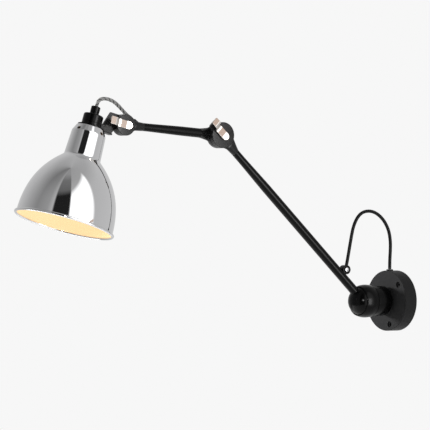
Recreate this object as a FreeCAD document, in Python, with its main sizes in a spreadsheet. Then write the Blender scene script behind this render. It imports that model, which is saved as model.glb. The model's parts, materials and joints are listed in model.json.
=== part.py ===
import FreeCAD, Part
import math
import os

import Sketcher

# An articulating wall lamp.  A round base is screwed to the wall, a ball held
# in a socket carries a long tube, a clamped elbow carries a shorter tube, and
# a second clamped joint carries a bell-shaped metal shade.
#
# Frame: the wall is the plane Y = 0, the room is towards -Y, +Z is up, and
# the origin is the middle of the base on the wall.  Millimetres and degrees.

V = FreeCAD.Vector
doc = FreeCAD.newDocument("wall_lamp")

# ---------------------------------------------------------------- the sizes

SIZES = [
    # wall base
    ("base_dia", 100.0), ("base_depth", 23.5), ("base_wall", 2.5),
    ("base_front", 3.0), ("base_edge", 0.8),
    ("screw_pcd", 80.0), ("screw_count", 3), ("screw_turn", -78.0),
    ("screw_bore", 5.0), ("screw_sink", 10.0), ("boss_dia", 17.0),
    ("outlet_height", 15.6), ("cord_dia", 5.5), 
    ("gland_body", 7.2), ("gland_flange", 9.0), ("gland_head", 2.2),
    ("block_long", 26.0), ("block_wide", 14.0), ("block_tall", 12.0),
    ("block_drop", 22.4), ("block_screw", 4.0), ("block_pitch", 8.0),
    ("saddle_long", 16.0), ("saddle_wide", 6.0), ("saddle_tall", 7.0),
    ("saddle_screw", 3.0), ("saddle_pitch", 11.0), ("saddle_height", 34.0),
    # swivel post between base and barrel
    ("post_dia", 14.0), ("post_collar", 20.0), ("collar_tall", 2.4),
    ("post_head", 24.0), ("post_head_tall", 3.0), ("post_bore", 7.0),
    ("post_nut", 22.0), ("post_nut_tall", 5.0), ("run_clearance", 0.05),
    ("face_gap", 0.1),
    # socket barrel
    ("barrel_dia", 49.2), ("barrel_back", 5.0), ("barrel_bevel", 5.5),
    ("barrel_bevel_deep", 6.0), ("barrel_hollow", 34.0),
    ("seat_bore", 39.0), ("seat_start", 10.0), ("skirt_dia", 44.8),
    ("skirt_start", 24.0), ("barrel_end", 34.0),
    ("set_screw_dia", 5.0), ("set_screw_long", 4.8), ("set_screw_turn", -29.0),
    ("set_screw_height", 15.0), ("hex_key", 2.5),
    ("spring_seat_bore", 16.0), ("spring_seat_tall", 2.0),
    ("spring_bore", 18.0), ("spring_dia", 36.0), ("spring_thick", 1.5),
    ("spring_rise", 2.0), ("cup_bore", 24.0), ("fit", 0.3),
    # ball and its ring
    ("ball_dia", 50.0), ("ball_height", 74.0), ("ball_gap", 0.3),
    ("ring_dia", 53.4), ("ring_band", 4.0), ("ring_bore", 41.2),
    ("ring_skirt", 6.0), ("lip_turn", 65.0), ("lip_wall", 1.6),
    ("stem_dia", 9.0), ("nut_pocket", 16.0), ("nut_pocket_deep", 16.0),
    # lower arm
    ("tube_dia", 15.0), ("tube_bore", 12.0), ("tube_start", 28.0),
    ("arm_length", 390.0), ("taper_from", 124.0), ("taper_to", 58.0),
    ("tube_tip", 12.6), ("tip_bore", 9.8), ("tube_end", 40.0),
    ("plug_long", 18.0), ("stem_nut", 12.0), ("stem_nut_tall", 4.5),
    ("arm_gland_at", 54.0), ("arm_gland_lean", 30.0), ("arm_gland_tall", 13.4),
    ("arm_gland_dia", 8.2), ("arm_gland_rim", 9.6), ("arm_gland_rim_tall", 1.6),
    # elbow
    ("elbow_dia", 42.0), ("half_thick", 9.0), ("disc_gap", 0.6),
    ("friction_dia", 37.0), ("elbow_bolt", 6.0), ("bolt_head", 13.0),
    ("bolt_head_tall", 4.0), ("washer_dia", 16.0), ("washer_thick", 1.2),
    ("elbow_edge", 1.2), ("lug_wide", 15.5), ("lug_reach", 28.0),
    ("lug_thick", 4.6), ("neck_reach", 23.0), ("neck_tall", 26.0),
    # upper arm
    ("fore_length", 183.5), ("fore_taper_from", 110.0), ("fore_taper_to", 45.0),
    ("fore_tip", 12.9), ("fore_end", 36.0),
    # head joint
    ("head_dia", 34.0), ("head_half", 8.0), ("head_friction", 29.0),
    ("head_bolt", 5.0), ("head_bolt_head", 11.0), ("head_washer", 13.0),
    ("head_neck_reach", 19.0), ("head_neck_tall", 21.0), ("head_edge", 1.0),
    # clamp levers
    ("lever_wide", 12.5), ("lever_thick", 2.2), ("lever_reach", 34.0),
    ("lever_rise", 8.0), ("head_lever_reach", 35.5), ("head_lever_turn", -9.0), ("lever_hub_tall", 4.0),
    # shade and lamp holder
    ("shade_reach", 57.0), ("shade_drop", 23.0), ("shade_wall", 1.0),
    ("top_dia", 45.2), ("neck_top_dia", 54.6), ("neck_foot_dia", 59.2),
    ("shoulder_tall", 10.0), ("neck_foot", 51.0), ("bowl_one", 69.8),
    ("bowl_one_dia", 97.0), ("bowl_two", 94.2), ("bowl_two_dia", 129.4),
    ("bowl_three", 122.6), ("bowl_three_dia", 149.4), ("bowl_four", 154.0),
    ("bowl_four_dia", 156.0), ("shade_height", 162.0), ("bead_dia", 4.8),
    ("vent_dia", 4.0), ("vent_long", 7.0), ("vent_count", 6),
    ("plate_thick", 2.4), ("plate_dia", 38.0), ("web_thick", 4.0),
    ("cover_dia", 32.0), ("cover_tall", 18.6), ("cover_wall", 1.6),
    ("cover_edge", 2.2), ("grip_dia", 14.8), ("grip_tall", 13.6),
    ("grip_edge", 1.6), ("holder_dia", 27.0), ("holder_deep", 30.0),
    ("cap_bore", 14.6), ("nut_ring_dia", 40.0),
    ("nut_ring_tall", 6.0), ("insulator_dia", 24.0), ("insulator_tall", 9.0),
    ("cap_dia", 14.0), ("cap_long", 25.0), ("bulb_dia", 45.0),
    ("bulb_long", 52.0), ("contact_dia", 5.0),
    ("head_cord_dia", 5.8), ("fore_gland_dia", 8.0), ("fore_gland_reach", 8.5),
    ("fore_gland_at", 31.0), ("fore_gland_turn", 38.0), ("fore_gland_lean", 38.0),
    # the pose in which the lamp stands
    ("yaw", 6.0), ("arm_rise", 44.0), ("fore_rise", 4.5), ("shade_lean", 17.7),
]

sheet = doc.addObject("Spreadsheet::Sheet", "Sizes")
for row, (word, number) in enumerate(SIZES, start=1):
    sheet.set("A%d" % row, word)
    sheet.set("B%d" % row, str(number))
    sheet.setAlias("B%d" % row, word)
doc.recompute()


class Size:
    """A length that knows both its number and how it follows from the sheet."""

    def __init__(self, number, text):
        self.number = float(number)
        self.text = text

    def __add__(self, other):
        other = size(other)
        return Size(self.number + other.number, "(%s + %s)" % (self.text, other.text))

    def __sub__(self, other):
        other = size(other)
        return Size(self.number - other.number, "(%s - %s)" % (self.text, other.text))

    def __mul__(self, other):
        other = size(other)
        return Size(self.number * other.number, "(%s * %s)" % (self.text, other.text))

    def __truediv__(self, other):
        other = size(other)
        return Size(self.number / other.number, "(%s / %s)" % (self.text, other.text))

    def __neg__(self):
        return Size(-self.number, "(0 - %s)" % self.text)


def size(value):
    return value if isinstance(value, Size) else Size(value, repr(float(value)))


def root(value):
    return Size(math.sqrt(value.number), "sqrt(%s)" % value.text)


def cosine(angle):
    return Size(math.cos(math.radians(angle.number)), "cos(%s * 1deg)" % angle.text)


def sine(angle):
    return Size(math.sin(math.radians(angle.number)), "sin(%s * 1deg)" % angle.text)


class Sheet:
    """Each alias of the sheet as a Size, by name."""

    def __init__(self):
        for word, number in SIZES:
            setattr(self, word, Size(sheet.get(word), "Sizes." + word))


S = Sheet()
ZERO = size(0.0)


def chord(radius, away):
    """Half-width of a ball of this radius at this distance from its middle."""
    return root(radius * radius - away * away)


# ------------------------------------------------------------- the helpers

def place(x, y, z, axis=V(0, 0, 1), angle=0.0):
    return FreeCAD.Placement(V(x, y, z), FreeCAD.Rotation(axis, angle))


def new_body(label, placement):
    body = doc.addObject("PartDesign::Body", label)
    body.Label = label
    body.Placement = placement
    return body


def plane_of(body, role):
    for feature in body.Origin.OriginFeatures:
        if feature.Role == role:
            return feature
    raise ValueError(role)


def new_sketch(body, role, lift=None):
    sketch = body.newObject("Sketcher::SketchObject", "Profile")
    sketch.AttachmentSupport = [(plane_of(body, role), "")]
    sketch.MapMode = "FlatFace"
    if lift is not None:
        sketch.AttachmentOffset = FreeCAD.Placement(V(0, 0, lift.number), FreeCAD.Rotation())
        sketch.setExpression("AttachmentOffset.Base.z", lift.text)
    return sketch


def bind(sketch, constraint, value):
    index = sketch.addConstraint(constraint)
    sketch.setExpression("Constraints[%d]" % index, value.text)


def outline(sketch, points, arcs=None):
    """A closed outline through points; arcs gives an edge its radius, whose
    sign picks the side on which the arc bulges."""
    arcs = arcs or {}
    points = [(size(x), size(y)) for x, y in points]
    count = len(points)
    first = sketch.GeometryCount
    flat = [V(x.number, y.number, 0) for x, y in points]
    tail = []
    for i in range(count):
        a, b = flat[i], flat[(i + 1) % count]
        if i in arcs:
            r = size(arcs[i])
            radius = abs(r.number)
            middle = (a + b) * 0.5
            side = V(-(b - a).y, (b - a).x, 0)
            side.normalize()
            reach = math.sqrt(max(radius ** 2 - (b - a).Length ** 2 / 4, 0))
            sign = 1 if r.number > 0 else -1
            centre = middle + side * (reach * sign)
            top = middle - side * (sign * (radius - reach))
            arc = Part.Arc(a, top, b)
            shape = Part.ArcOfCircle(
                Part.Circle(centre, V(0, 0, 1), radius),
                *sorted_angles(centre, a, top, b))
            sketch.addGeometry(shape, False)
            start = shape.StartPoint
            ends = (1, 2) if (start - a).Length < (start - b).Length else (2, 1)
            tail.append(ends)
            bind(sketch, Sketcher.Constraint("Radius", first + i, radius),
                 r if r.number > 0 else -r)
        else:
            sketch.addGeometry(Part.LineSegment(a, b), False)
            tail.append((1, 2))
    for i in range(count):
        j = (i + 1) % count
        sketch.addConstraint(Sketcher.Constraint(
            "Coincident", first + i, tail[i][1], first + j, tail[j][0]))
    for i, (x, y) in enumerate(points):
        if abs(x.number) < 1e-9 and x.text == "0.0":
            sketch.addConstraint(Sketcher.Constraint("PointOnObject", first + i, tail[i][0], -2))
        else:
            bind(sketch, Sketcher.Constraint("DistanceX", -1, 1, first + i, tail[i][0], x.number), x)
        if abs(y.number) < 1e-9 and y.text == "0.0":
            sketch.addConstraint(Sketcher.Constraint("PointOnObject", first + i, tail[i][0], -1))
        else:
            bind(sketch, Sketcher.Constraint("DistanceY", -1, 1, first + i, tail[i][0], y.number), y)
    return sketch


def sorted_angles(centre, a, top, b):
    """Start and end angle of the arc a-top-b, counter-clockwise."""
    angle = [math.atan2(p.y - centre.y, p.x - centre.x) for p in (a, top, b)]
    turn = 2 * math.pi
    span = (angle[2] - angle[0]) % turn
    if (angle[1] - angle[0]) % turn < span:
        return angle[0], angle[0] + span
    return angle[2], angle[2] + (turn - span)


def circle(sketch, x, y, radius):
    x, y, radius = size(x), size(y), size(radius)
    index = sketch.GeometryCount
    sketch.addGeometry(Part.Circle(V(x.number, y.number, 0), V(0, 0, 1), radius.number), False)
    bind(sketch, Sketcher.Constraint("Radius", index, radius.number), radius)
    if x.text == "0.0" and y.text == "0.0":
        sketch.addConstraint(Sketcher.Constraint("Coincident", index, 3, -1, 1))
    else:
        bind(sketch, Sketcher.Constraint("DistanceX", -1, 1, index, 3, x.number), x)
        bind(sketch, Sketcher.Constraint("DistanceY", -1, 1, index, 3, y.number), y)
    return sketch


def hexagon(sketch, across, x=0.0, y=0.0):
    """A regular hexagon, given across its flats, with a flat on each side in x."""
    half = size(across) / 2
    x, y = size(x), size(y)
    short = half / math.sqrt(3)
    tall = short * 2
    return outline(sketch, [(x + half, y - short), (x + half, y + short), (x, y + tall),
                            (x - half, y + short), (x - half, y - short), (x, y - tall)])


def revolve(body, sketch, axis="V_Axis", cut=False):
    feature = body.newObject("PartDesign::Groove" if cut else "PartDesign::Revolution", "Turned")
    feature.Profile = sketch
    feature.ReferenceAxis = (sketch, [axis])
    feature.Angle = 360.0
    return feature


def pad(body, sketch, length, back=False):
    feature = body.newObject("PartDesign::Pad", "Pad")
    feature.Profile = sketch
    feature.Length = size(length).number
    feature.setExpression("Length", size(length).text)
    feature.Reversed = back
    return feature


def pocket(body, sketch, length=None, back=False):
    feature = body.newObject("PartDesign::Pocket", "Pocket")
    feature.Profile = sketch
    feature.Reversed = back
    if length is None:
        feature.Type = "ThroughAll"
        feature.Midplane = True
    else:
        feature.Length = size(length).number
        feature.setExpression("Length", size(length).text)
    return feature


def repeat(body, feature, sketch, count, axis="N_Axis"):
    """Copies of a feature, evenly round the sketch's own axis."""
    doc.recompute()
    pattern = body.newObject("PartDesign::PolarPattern", "Ring")
    pattern.Originals = [feature]
    pattern.Axis = (sketch, [axis])
    pattern.Angle = 360.0
    pattern.Occurrences = int(round(count.number))
    pattern.setExpression("Occurrences", count.text)
    body.Tip = pattern
    return pattern


def turned(label, placement, points, arcs=None, axis="V_Axis"):
    """A body revolved from an outline: (radius, height) about the V axis, or
    (distance, radius) about the H axis."""
    body = new_body(label, placement)
    role = "XZ_Plane" if axis == "V_Axis" else "XY_Plane"
    revolve(body, outline(new_sketch(body, role), points, arcs), axis)
    return body


def soften(body, feature, size_of, pick):
    """Round the edges of a feature that pick accepts."""
    doc.recompute()
    names = ["Edge%d" % (i + 1) for i, e in enumerate(feature.Shape.Edges) if pick(e)]
    if not names:
        raise ValueError("no edge to round on " + body.Label)
    fillet = body.newObject("PartDesign::Fillet", "Rounded")
    fillet.Base = (feature, names)
    fillet.Radius = size_of.number
    fillet.setExpression("Radius", size_of.text)
    return fillet


def is_circle(edge, radius):
    return isinstance(edge.Curve, Part.Circle) and abs(edge.Curve.Radius - radius.number) < 1e-4


# ------------------------------------------------------------ the placements

# hub frame: local z runs from the wall into the room, local y is up
HUB = place(0, 0, 0, V(1, 0, 0), 90)
BALL = V(0, -S.ball_height.number, 0)
# arm plane: local x leads away from the wall, local y faces the near side
ARMS = FreeCAD.Placement(BALL, FreeCAD.Rotation(V(0, 0, 1), -90 - S.yaw.number))


def in_plane(x, z, angle):
    """A frame in the arm plane whose x axis rises at this angle."""
    return ARMS.multiply(place(x, 0, z, V(0, 1, 0), -angle))


rise, fore, lean = (math.radians(a.number) for a in (S.arm_rise, S.fore_rise, S.shade_lean))
elbow_x = S.arm_length.number * math.cos(rise)
elbow_z = S.arm_length.number * math.sin(rise)
head_x = elbow_x + S.fore_length.number * math.cos(fore)
head_z = elbow_z + S.fore_length.number * math.sin(fore)

LOWER = in_plane(0, 0, S.arm_rise.number)
UPPER = in_plane(elbow_x, elbow_z, S.fore_rise.number)
ELBOW = in_plane(elbow_x, elbow_z, S.arm_rise.number)
WRIST = in_plane(head_x, head_z, S.fore_rise.number)
HEAD = in_plane(head_x, head_z, S.shade_lean.number)
# lamp frame: the shade's own axis, local z up along it
LAMP = HEAD.multiply(place(S.shade_reach.number, 0, 0))

# ---------------------------------------------------------------- wall base

front = S.base_depth
rim = S.base_dia / 2
body = new_body("wall_base", HUB)
cup = revolve(body, outline(new_sketch(body, "XZ_Plane"), [
    (S.post_dia / 2, front), (S.post_dia / 2, front - S.base_front),
    (rim - S.base_wall, front - S.base_front), (rim - S.base_wall, 0.0),
    (rim, 0.0), (rim, front - S.base_edge), (rim - S.base_edge, front)]))
boss_x = (S.screw_pcd / 2) * cosine(S.screw_turn)
boss_y = (S.screw_pcd / 2) * sine(S.screw_turn)
boss_sketch = circle(new_sketch(body, "XY_Plane"), boss_x, boss_y, S.boss_dia / 2)
boss = pad(body, boss_sketch, front - S.base_front)
repeat(body, boss, boss_sketch, S.screw_count)
doc.recompute()
hole_sketch = circle(new_sketch(body, "XY_Plane"), boss_x, boss_y, S.screw_bore / 2)
hole = pocket(body, hole_sketch)
repeat(body, hole, hole_sketch, S.screw_count)
doc.recompute()
sink_sketch = circle(new_sketch(body, "XY_Plane", front - S.screw_bore / 2),
                     boss_x, boss_y, S.screw_sink / 2)
sink = pocket(body, sink_sketch, S.screw_bore / 2, back=True)
repeat(body, sink, sink_sketch, S.screw_count)
doc.recompute()
outlet = new_sketch(body, "XZ_Plane")
circle(outlet, 0.0, S.outlet_height, S.gland_body / 2)
way_out = pocket(body, outlet, rim + 1)
wall_base = body

# bush in the rim through which the cord leaves
OUTLET = HUB.multiply(place(0, 0, S.outlet_height.number, V(1, 0, 0), -90))
turned("base_gland", OUTLET, [
    (0.0, rim - S.base_wall - 1.6), (S.gland_flange / 2, rim - S.base_wall - 1.6),
    (S.gland_flange / 2, rim - S.base_wall - 0.4), (S.gland_body / 2 - S.fit / 2, rim - S.base_wall - 0.4),
    (S.gland_body / 2 - S.fit / 2, rim + S.gland_head - 0.6),
    (S.gland_body / 2 - 0.6, rim + S.gland_head), (0.0, rim + S.gland_head)])

# terminal block and cord saddle on the inside of the front wall
body = new_body("terminal_block", HUB)
block_top = front - S.base_front
blk = new_sketch(body, "XY_Plane", block_top - S.block_tall)
outline(blk, [(-S.block_long / 2, -S.block_drop - S.block_wide / 2),
              (S.block_long / 2, -S.block_drop - S.block_wide / 2),
              (S.block_long / 2, -S.block_drop + S.block_wide / 2),
              (-S.block_long / 2, -S.block_drop + S.block_wide / 2)])
pad(body, blk, S.block_tall)
doc.recompute()
wells = new_sketch(body, "XY_Plane", block_top - S.block_tall)
for step in (-1, 0, 1):
    circle(wells, S.block_pitch * step, -S.block_drop, S.block_screw / 2)
pocket(body, wells, S.block_tall - 3, back=True)

body = new_body("cord_saddle", HUB)
sad = new_sketch(body, "XY_Plane", block_top - S.saddle_tall)
outline(sad, [(-S.saddle_long / 2, S.saddle_height - S.saddle_wide / 2),
              (S.saddle_long / 2, S.saddle_height - S.saddle_wide / 2),
              (S.saddle_long / 2, S.saddle_height + S.saddle_wide / 2),
              (-S.saddle_long / 2, S.saddle_height + S.saddle_wide / 2)])
pad(body, sad, S.saddle_tall)
doc.recompute()
saddle_holes = new_sketch(body, "XY_Plane", block_top - S.saddle_tall)
for step in (-0.5, 0.5):
    circle(saddle_holes, S.saddle_pitch * step, S.saddle_height, S.saddle_screw / 2)
pocket(body, saddle_holes, S.saddle_tall - 2, back=True)

# swivel post: fixed in the base, its head is inside the barrel
barrel_at = front + S.collar_tall + S.face_gap
head_at = barrel_at + S.barrel_back + S.face_gap
post_r = S.post_dia / 2 - S.run_clearance
turned("swivel_post", HUB, [
    (S.post_bore / 2, front - S.base_front - S.post_nut_tall - 1.5),
    (S.post_dia / 2, front - S.base_front - S.post_nut_tall - 1.5),
    (S.post_dia / 2, front), (S.post_collar / 2, front),
    (S.post_collar / 2, front + S.collar_tall), (post_r, front + S.collar_tall),
    (post_r, head_at), (S.post_head / 2, head_at),
    (S.post_head / 2, head_at + S.post_head_tall), (S.post_bore / 2, head_at + S.post_head_tall)])
body = new_body("swivel_nut", HUB)
nut = new_sketch(body, "XY_Plane", front - S.base_front)
hexagon(nut, S.post_nut)
circle(nut, 0.0, 0.0, S.post_dia / 2)
pad(body, nut, S.post_nut_tall, back=True)

# -------------------------------------------------------------- socket barrel

barrel_r = S.barrel_dia / 2
end = barrel_at + S.barrel_end
body = turned("socket_barrel", HUB, [
    (S.post_dia / 2, barrel_at), (barrel_r - S.barrel_bevel, barrel_at),
    (barrel_r, barrel_at + S.barrel_bevel_deep), (barrel_r, end),
    (S.skirt_dia / 2, end), (S.skirt_dia / 2, barrel_at + S.skirt_start),
    (S.seat_bore / 2, barrel_at + S.skirt_start), (S.seat_bore / 2, barrel_at + S.seat_start),
    (S.barrel_hollow / 2, barrel_at + S.seat_start),
    (S.barrel_hollow / 2, barrel_at + S.barrel_back), (S.post_dia / 2, barrel_at + S.barrel_back)])
# the set screw's hole, drilled straight in from the side
SCREW = HUB.multiply(place(0, 0, (barrel_at + S.set_screw_height).number,
                           V(0, 0, 1), S.set_screw_turn.number)).multiply(
    place(0, 0, 0, V(0, 1, 0), 90))
socket_barrel = body
screw_r = S.set_screw_dia / 2

turned("spring_seat", HUB, [
    (S.spring_seat_bore / 2, barrel_at + S.seat_start),
    (S.seat_bore / 2 - S.face_gap, barrel_at + S.seat_start),
    (S.seat_bore / 2 - S.face_gap, barrel_at + S.seat_start + S.spring_seat_tall),
    (S.spring_seat_bore / 2, barrel_at + S.seat_start + S.spring_seat_tall)])
spring_at = barrel_at + S.seat_start + S.spring_seat_tall
turned("disc_spring_rear", HUB, [
    (S.spring_bore / 2, spring_at + S.spring_rise), (S.spring_dia / 2, spring_at),
    (S.spring_dia / 2, spring_at + S.spring_thick),
    (S.spring_bore / 2, spring_at + S.spring_rise + S.spring_thick)])
front_spring = spring_at + S.spring_rise + S.spring_thick
turned("disc_spring_front", HUB, [
    (S.spring_bore / 2, front_spring), (S.spring_dia / 2, front_spring + S.spring_rise),
    (S.spring_dia / 2, front_spring + S.spring_rise + S.spring_thick),
    (S.spring_bore / 2, front_spring + S.spring_thick)])
cup_at = front_spring + S.spring_rise + S.spring_thick
seat_r = S.ball_dia / 2 + S.ball_gap
cup_r = S.seat_bore / 2 - S.face_gap
turned("friction_cup", HUB, [
    (S.cup_bore / 2, cup_at), (cup_r, cup_at),
    (cup_r, S.ball_height - chord(seat_r, cup_r)),
    (S.cup_bore / 2, S.ball_height - chord(seat_r, S.cup_bore / 2))],
    {2: -seat_r})

ring_r = S.ring_dia / 2
lip = S.ball_height + seat_r * cosine(S.lip_turn)
lip_r = seat_r * sine(S.lip_turn)
bore_meets = S.ball_height - chord(seat_r, S.ring_bore / 2)
turned("socket_ring", HUB, [
    (S.ring_bore / 2, end - S.ring_skirt), (S.skirt_dia / 2 - S.face_gap, end - S.ring_skirt),
    (S.skirt_dia / 2 - S.face_gap, end + S.face_gap), (ring_r - 1.2, end + S.face_gap),
    (ring_r, end + S.face_gap + 1.2), (ring_r, end + S.ring_band),
    (lip_r + S.lip_wall, lip - 0.4), (lip_r + S.lip_wall - 0.8, lip + 0.3), (lip_r, lip),
    (S.ring_bore / 2, bore_meets)],
    {5: ring_r * 1.45, 8: -seat_r})

# ---------------------------------------------------------------------- ball

ball_r = S.ball_dia / 2
stem_run = S.stem_dia / 2 + S.run_clearance
pocket_floor = -(ball_r - S.nut_pocket_deep)
turned("pivot_ball", LOWER, [
    (chord(ball_r, stem_run), stem_run), (pocket_floor, stem_run),
    (pocket_floor, S.nut_pocket / 2), (-chord(ball_r, S.nut_pocket / 2), S.nut_pocket / 2)],
    {3: -ball_r}, axis="H_Axis")

# ----------------------------------------------------------------- lower arm

tube_r = S.tube_dia / 2
collar_back = chord(seat_r, S.stem_dia / 2)
collar_edge = chord(seat_r, tube_r)
turned("arm_stem", LOWER, [
    (pocket_floor - S.stem_nut_tall - 1, 0.0),
    (pocket_floor - S.stem_nut_tall - 1, S.stem_dia / 2),
    (collar_back, S.stem_dia / 2), (collar_edge, tube_r), (S.tube_start, tube_r),
    (S.tube_start, S.tube_bore / 2), (S.tube_start + S.plug_long, S.tube_bore / 2),
    (S.tube_start + S.plug_long, 0.0)], axis="H_Axis")
body = new_body("stem_nut", LOWER)
nut = new_sketch(body, "YZ_Plane", pocket_floor - S.fit - S.stem_nut_tall)
hexagon(nut, S.stem_nut)
circle(nut, 0.0, 0.0, S.stem_dia / 2)
pad(body, nut, S.stem_nut_tall)

tip = S.arm_length - S.tube_end
body = turned("lower_arm_tube", LOWER, [
    (S.tube_start, S.tube_bore / 2), (S.tube_start, tube_r),
    (S.arm_length - S.taper_from, tube_r), (S.arm_length - S.taper_to, S.tube_tip / 2),
    (tip, S.tube_tip / 2), (tip, S.tip_bore / 2),
    (S.arm_length - S.taper_to, S.tip_bore / 2), (S.arm_length - S.taper_from, S.tube_bore / 2)],
    axis="H_Axis")

# slanted outlet on top of the lower arm
GLAND = LOWER.multiply(place(S.arm_gland_at.number, 0, 0, V(0, 1, 0), S.arm_gland_lean.number))
gland_foot = S.tube_bore / 2 - 3.2
gland_top = S.arm_gland_tall
arm_gland = [
    (0.0, gland_foot), (S.arm_gland_dia / 2, gland_foot),
    (S.arm_gland_dia / 2, gland_top - S.arm_gland_rim_tall),
    (S.arm_gland_rim / 2, gland_top - S.arm_gland_rim_tall),
    (S.arm_gland_rim / 2, gland_top - 0.4), (S.arm_gland_rim / 2 - 0.4, gland_top),
    (0.0, gland_top)]


def drill(label, base, at, radius, start, length):
    """Cut a round hole of its own frame through a finished body."""
    tool = doc.addObject("Part::Cylinder", label + "_hole")
    tool.Placement = at.multiply(place(0, 0, size(start).number))
    tool.setExpression("Radius", size(radius).text)
    tool.setExpression("Height", size(length).text)
    cut = doc.addObject("Part::Cut", label + "_cut")
    cut.Base = base
    cut.Tool = tool
    base.Label = label + "_blank"
    cut.Label = label
    return cut


FINISHED = {}
gland_body = turned("arm_cord_gland", GLAND, arm_gland)
FINISHED["lower_arm_tube"] = drill("lower_arm_tube", body, GLAND, S.arm_gland_dia / 2,
                                   gland_foot, gland_top - gland_foot)
FINISHED["socket_barrel"] = drill("socket_barrel", socket_barrel, SCREW, screw_r,
                                  S.seat_bore / 2 - 1, S.barrel_dia / 2)
body = turned("barrel_set_screw", SCREW, [
    (0.0, S.seat_bore / 2 + 0.2), (screw_r, S.seat_bore / 2 + 0.2),
    (screw_r, S.seat_bore / 2 + S.set_screw_long), (0.0, S.seat_bore / 2 + S.set_screw_long)])
doc.recompute()
key = new_sketch(body, "XY_Plane", S.seat_bore / 2 + S.set_screw_long)
hexagon(key, S.hex_key)
pocket(body, key, S.set_screw_long / 2)


# --------------------------------------------------------------------- joints

def joint_half(label, placement, dia, thick, near, direction, tip_dia, neck_end,
               neck_reach, neck_tall, bolt_r, edge, lug=None):
    """One half of a clamped joint.  Its disc lies on one side of the middle
    plane, and a swelling neck leads back to the tube on the middle line.
    near is +1 for the half on the near side, direction is where the arm lies."""
    gap = S.disc_gap
    body = new_body(label, placement)
    start = gap if near > 0 else -(gap + thick)
    # plug in the tube
    plug = circle(new_sketch(body, "YZ_Plane", neck_end * direction), 0.0, 0.0, S.tip_bore / 2)
    pad(body, plug, 12.0, back=direction < 0)
    # swelling neck, from the round tube to a flat root inside the disc
    middle = (gap + thick / 2) * near
    half_t = thick / 2 - 0.35
    ring = new_sketch(body, "YZ_Plane", neck_end * direction)
    ellipse(ring, 0.0, 0.0, tip_dia / 2, tip_dia / 2 + 0.02)
    outer = new_sketch(body, "YZ_Plane", neck_reach * direction)
    ellipse(outer, middle, 0.0, half_t, neck_tall / 2 - 3)
    shank = new_sketch(body, "YZ_Plane", (dia / 2 - 5) * direction)
    ellipse(shank, middle, 0.0, half_t, neck_tall / 2)
    loft(body, ring, [outer, shank])
    # XZ sketches face -y, so distances along y change their sign
    disc = circle(new_sketch(body, "XZ_Plane", -(start + thick)), 0.0, 0.0, dia / 2)
    pad(body, disc, thick)
    if lug is not None:
        wide, reach, deep = lug
        sketch = new_sketch(body, "XZ_Plane", -(start + thick))
        outline(sketch, [(0.0, -wide / 2), (reach - 3, -wide / 2), (reach, -wide / 2 + 3),
                         (reach, wide / 2 - 3), (reach - 3, wide / 2), (0.0, wide / 2)],
                {1: 3.0, 3: 3.0})
        last = pad(body, sketch, deep)
    doc.recompute()
    hole = circle(new_sketch(body, "XZ_Plane"), 0.0, 0.0, bolt_r)
    last = pocket(body, hole)
    doc.recompute()
    face_y = (start + thick).number if near > 0 else start.number
    soften(body, last, edge, lambda e: is_circle(e, dia / 2)
           and abs(e.Curve.Center.y - face_y) < 0.01)
    return body


def ellipse(sketch, x, y, half_x, half_y):
    """An upright ellipse with its half-widths bound to the sheet."""
    x, y, half_x, half_y = size(x), size(y), size(half_x), size(half_y)
    index = sketch.GeometryCount
    centre = V(x.number, y.number, 0)
    tall = half_y.number > half_x.number
    big, small = (half_y, half_x) if tall else (half_x, half_y)
    major = centre + (V(0, big.number, 0) if tall else V(big.number, 0, 0))
    minor = centre + (V(-small.number, 0, 0) if tall else V(0, small.number, 0))
    sketch.addGeometry(Part.Ellipse(major, minor, centre), False)
    sketch.exposeInternalGeometry(index)
    # its two axes, with their ends held at the half-widths
    long_axis, short_axis = index + 1, index + 2
    bind(sketch, Sketcher.Constraint("DistanceX", -1, 1, index, 3, x.number), x)
    bind(sketch, Sketcher.Constraint("DistanceY", -1, 1, index, 3, y.number), y)
    if tall:
        sketch.addConstraint(Sketcher.Constraint("Vertical", long_axis))
        bind(sketch, Sketcher.Constraint("Distance", long_axis, 2 * big.number), big * 2)
        bind(sketch, Sketcher.Constraint("Distance", short_axis, 2 * small.number), small * 2)
    else:
        sketch.addConstraint(Sketcher.Constraint("Horizontal", long_axis))
        bind(sketch, Sketcher.Constraint("Distance", long_axis, 2 * big.number), big * 2)
        bind(sketch, Sketcher.Constraint("Distance", short_axis, 2 * small.number), small * 2)
    return sketch


def loft(body, first, rest):
    feature = body.newObject("PartDesign::AdditiveLoft", "Neck")
    feature.Profile = first
    feature.Sections = rest
    feature.Ruled = True
    return feature


near_face = S.disc_gap + S.half_thick
elbow_bolt_r = S.elbow_bolt / 2
joint_half("elbow_near_half", ELBOW, S.elbow_dia, S.half_thick, 1, -1, S.tube_tip,
           S.tube_end, S.neck_reach, S.neck_tall, elbow_bolt_r, S.elbow_edge,
           (S.lug_wide, S.lug_reach, S.lug_thick))
joint_half("elbow_far_half", UPPER, S.elbow_dia, S.half_thick, -1, 1, S.tube_dia,
           S.tube_end, S.neck_reach, S.neck_tall, elbow_bolt_r + S.run_clearance, S.elbow_edge)
tall_of = S.half_thick + S.disc_gap
FLIP = place(0, 0, 0, V(1, 0, 0), -90)   # local z along +y
turned("elbow_friction_disc", ELBOW.multiply(FLIP), [
    (elbow_bolt_r, -(S.disc_gap - S.face_gap)), (S.friction_dia / 2, -(S.disc_gap - S.face_gap)),
    (S.friction_dia / 2, S.disc_gap), (elbow_bolt_r, S.disc_gap)])
turned("elbow_washer", UPPER.multiply(FLIP), [
    (elbow_bolt_r + S.run_clearance, -tall_of), (S.washer_dia / 2, -tall_of),
    (S.washer_dia / 2, -(tall_of + S.washer_thick)),
    (elbow_bolt_r + S.run_clearance, -(tall_of + S.washer_thick))])


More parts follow.
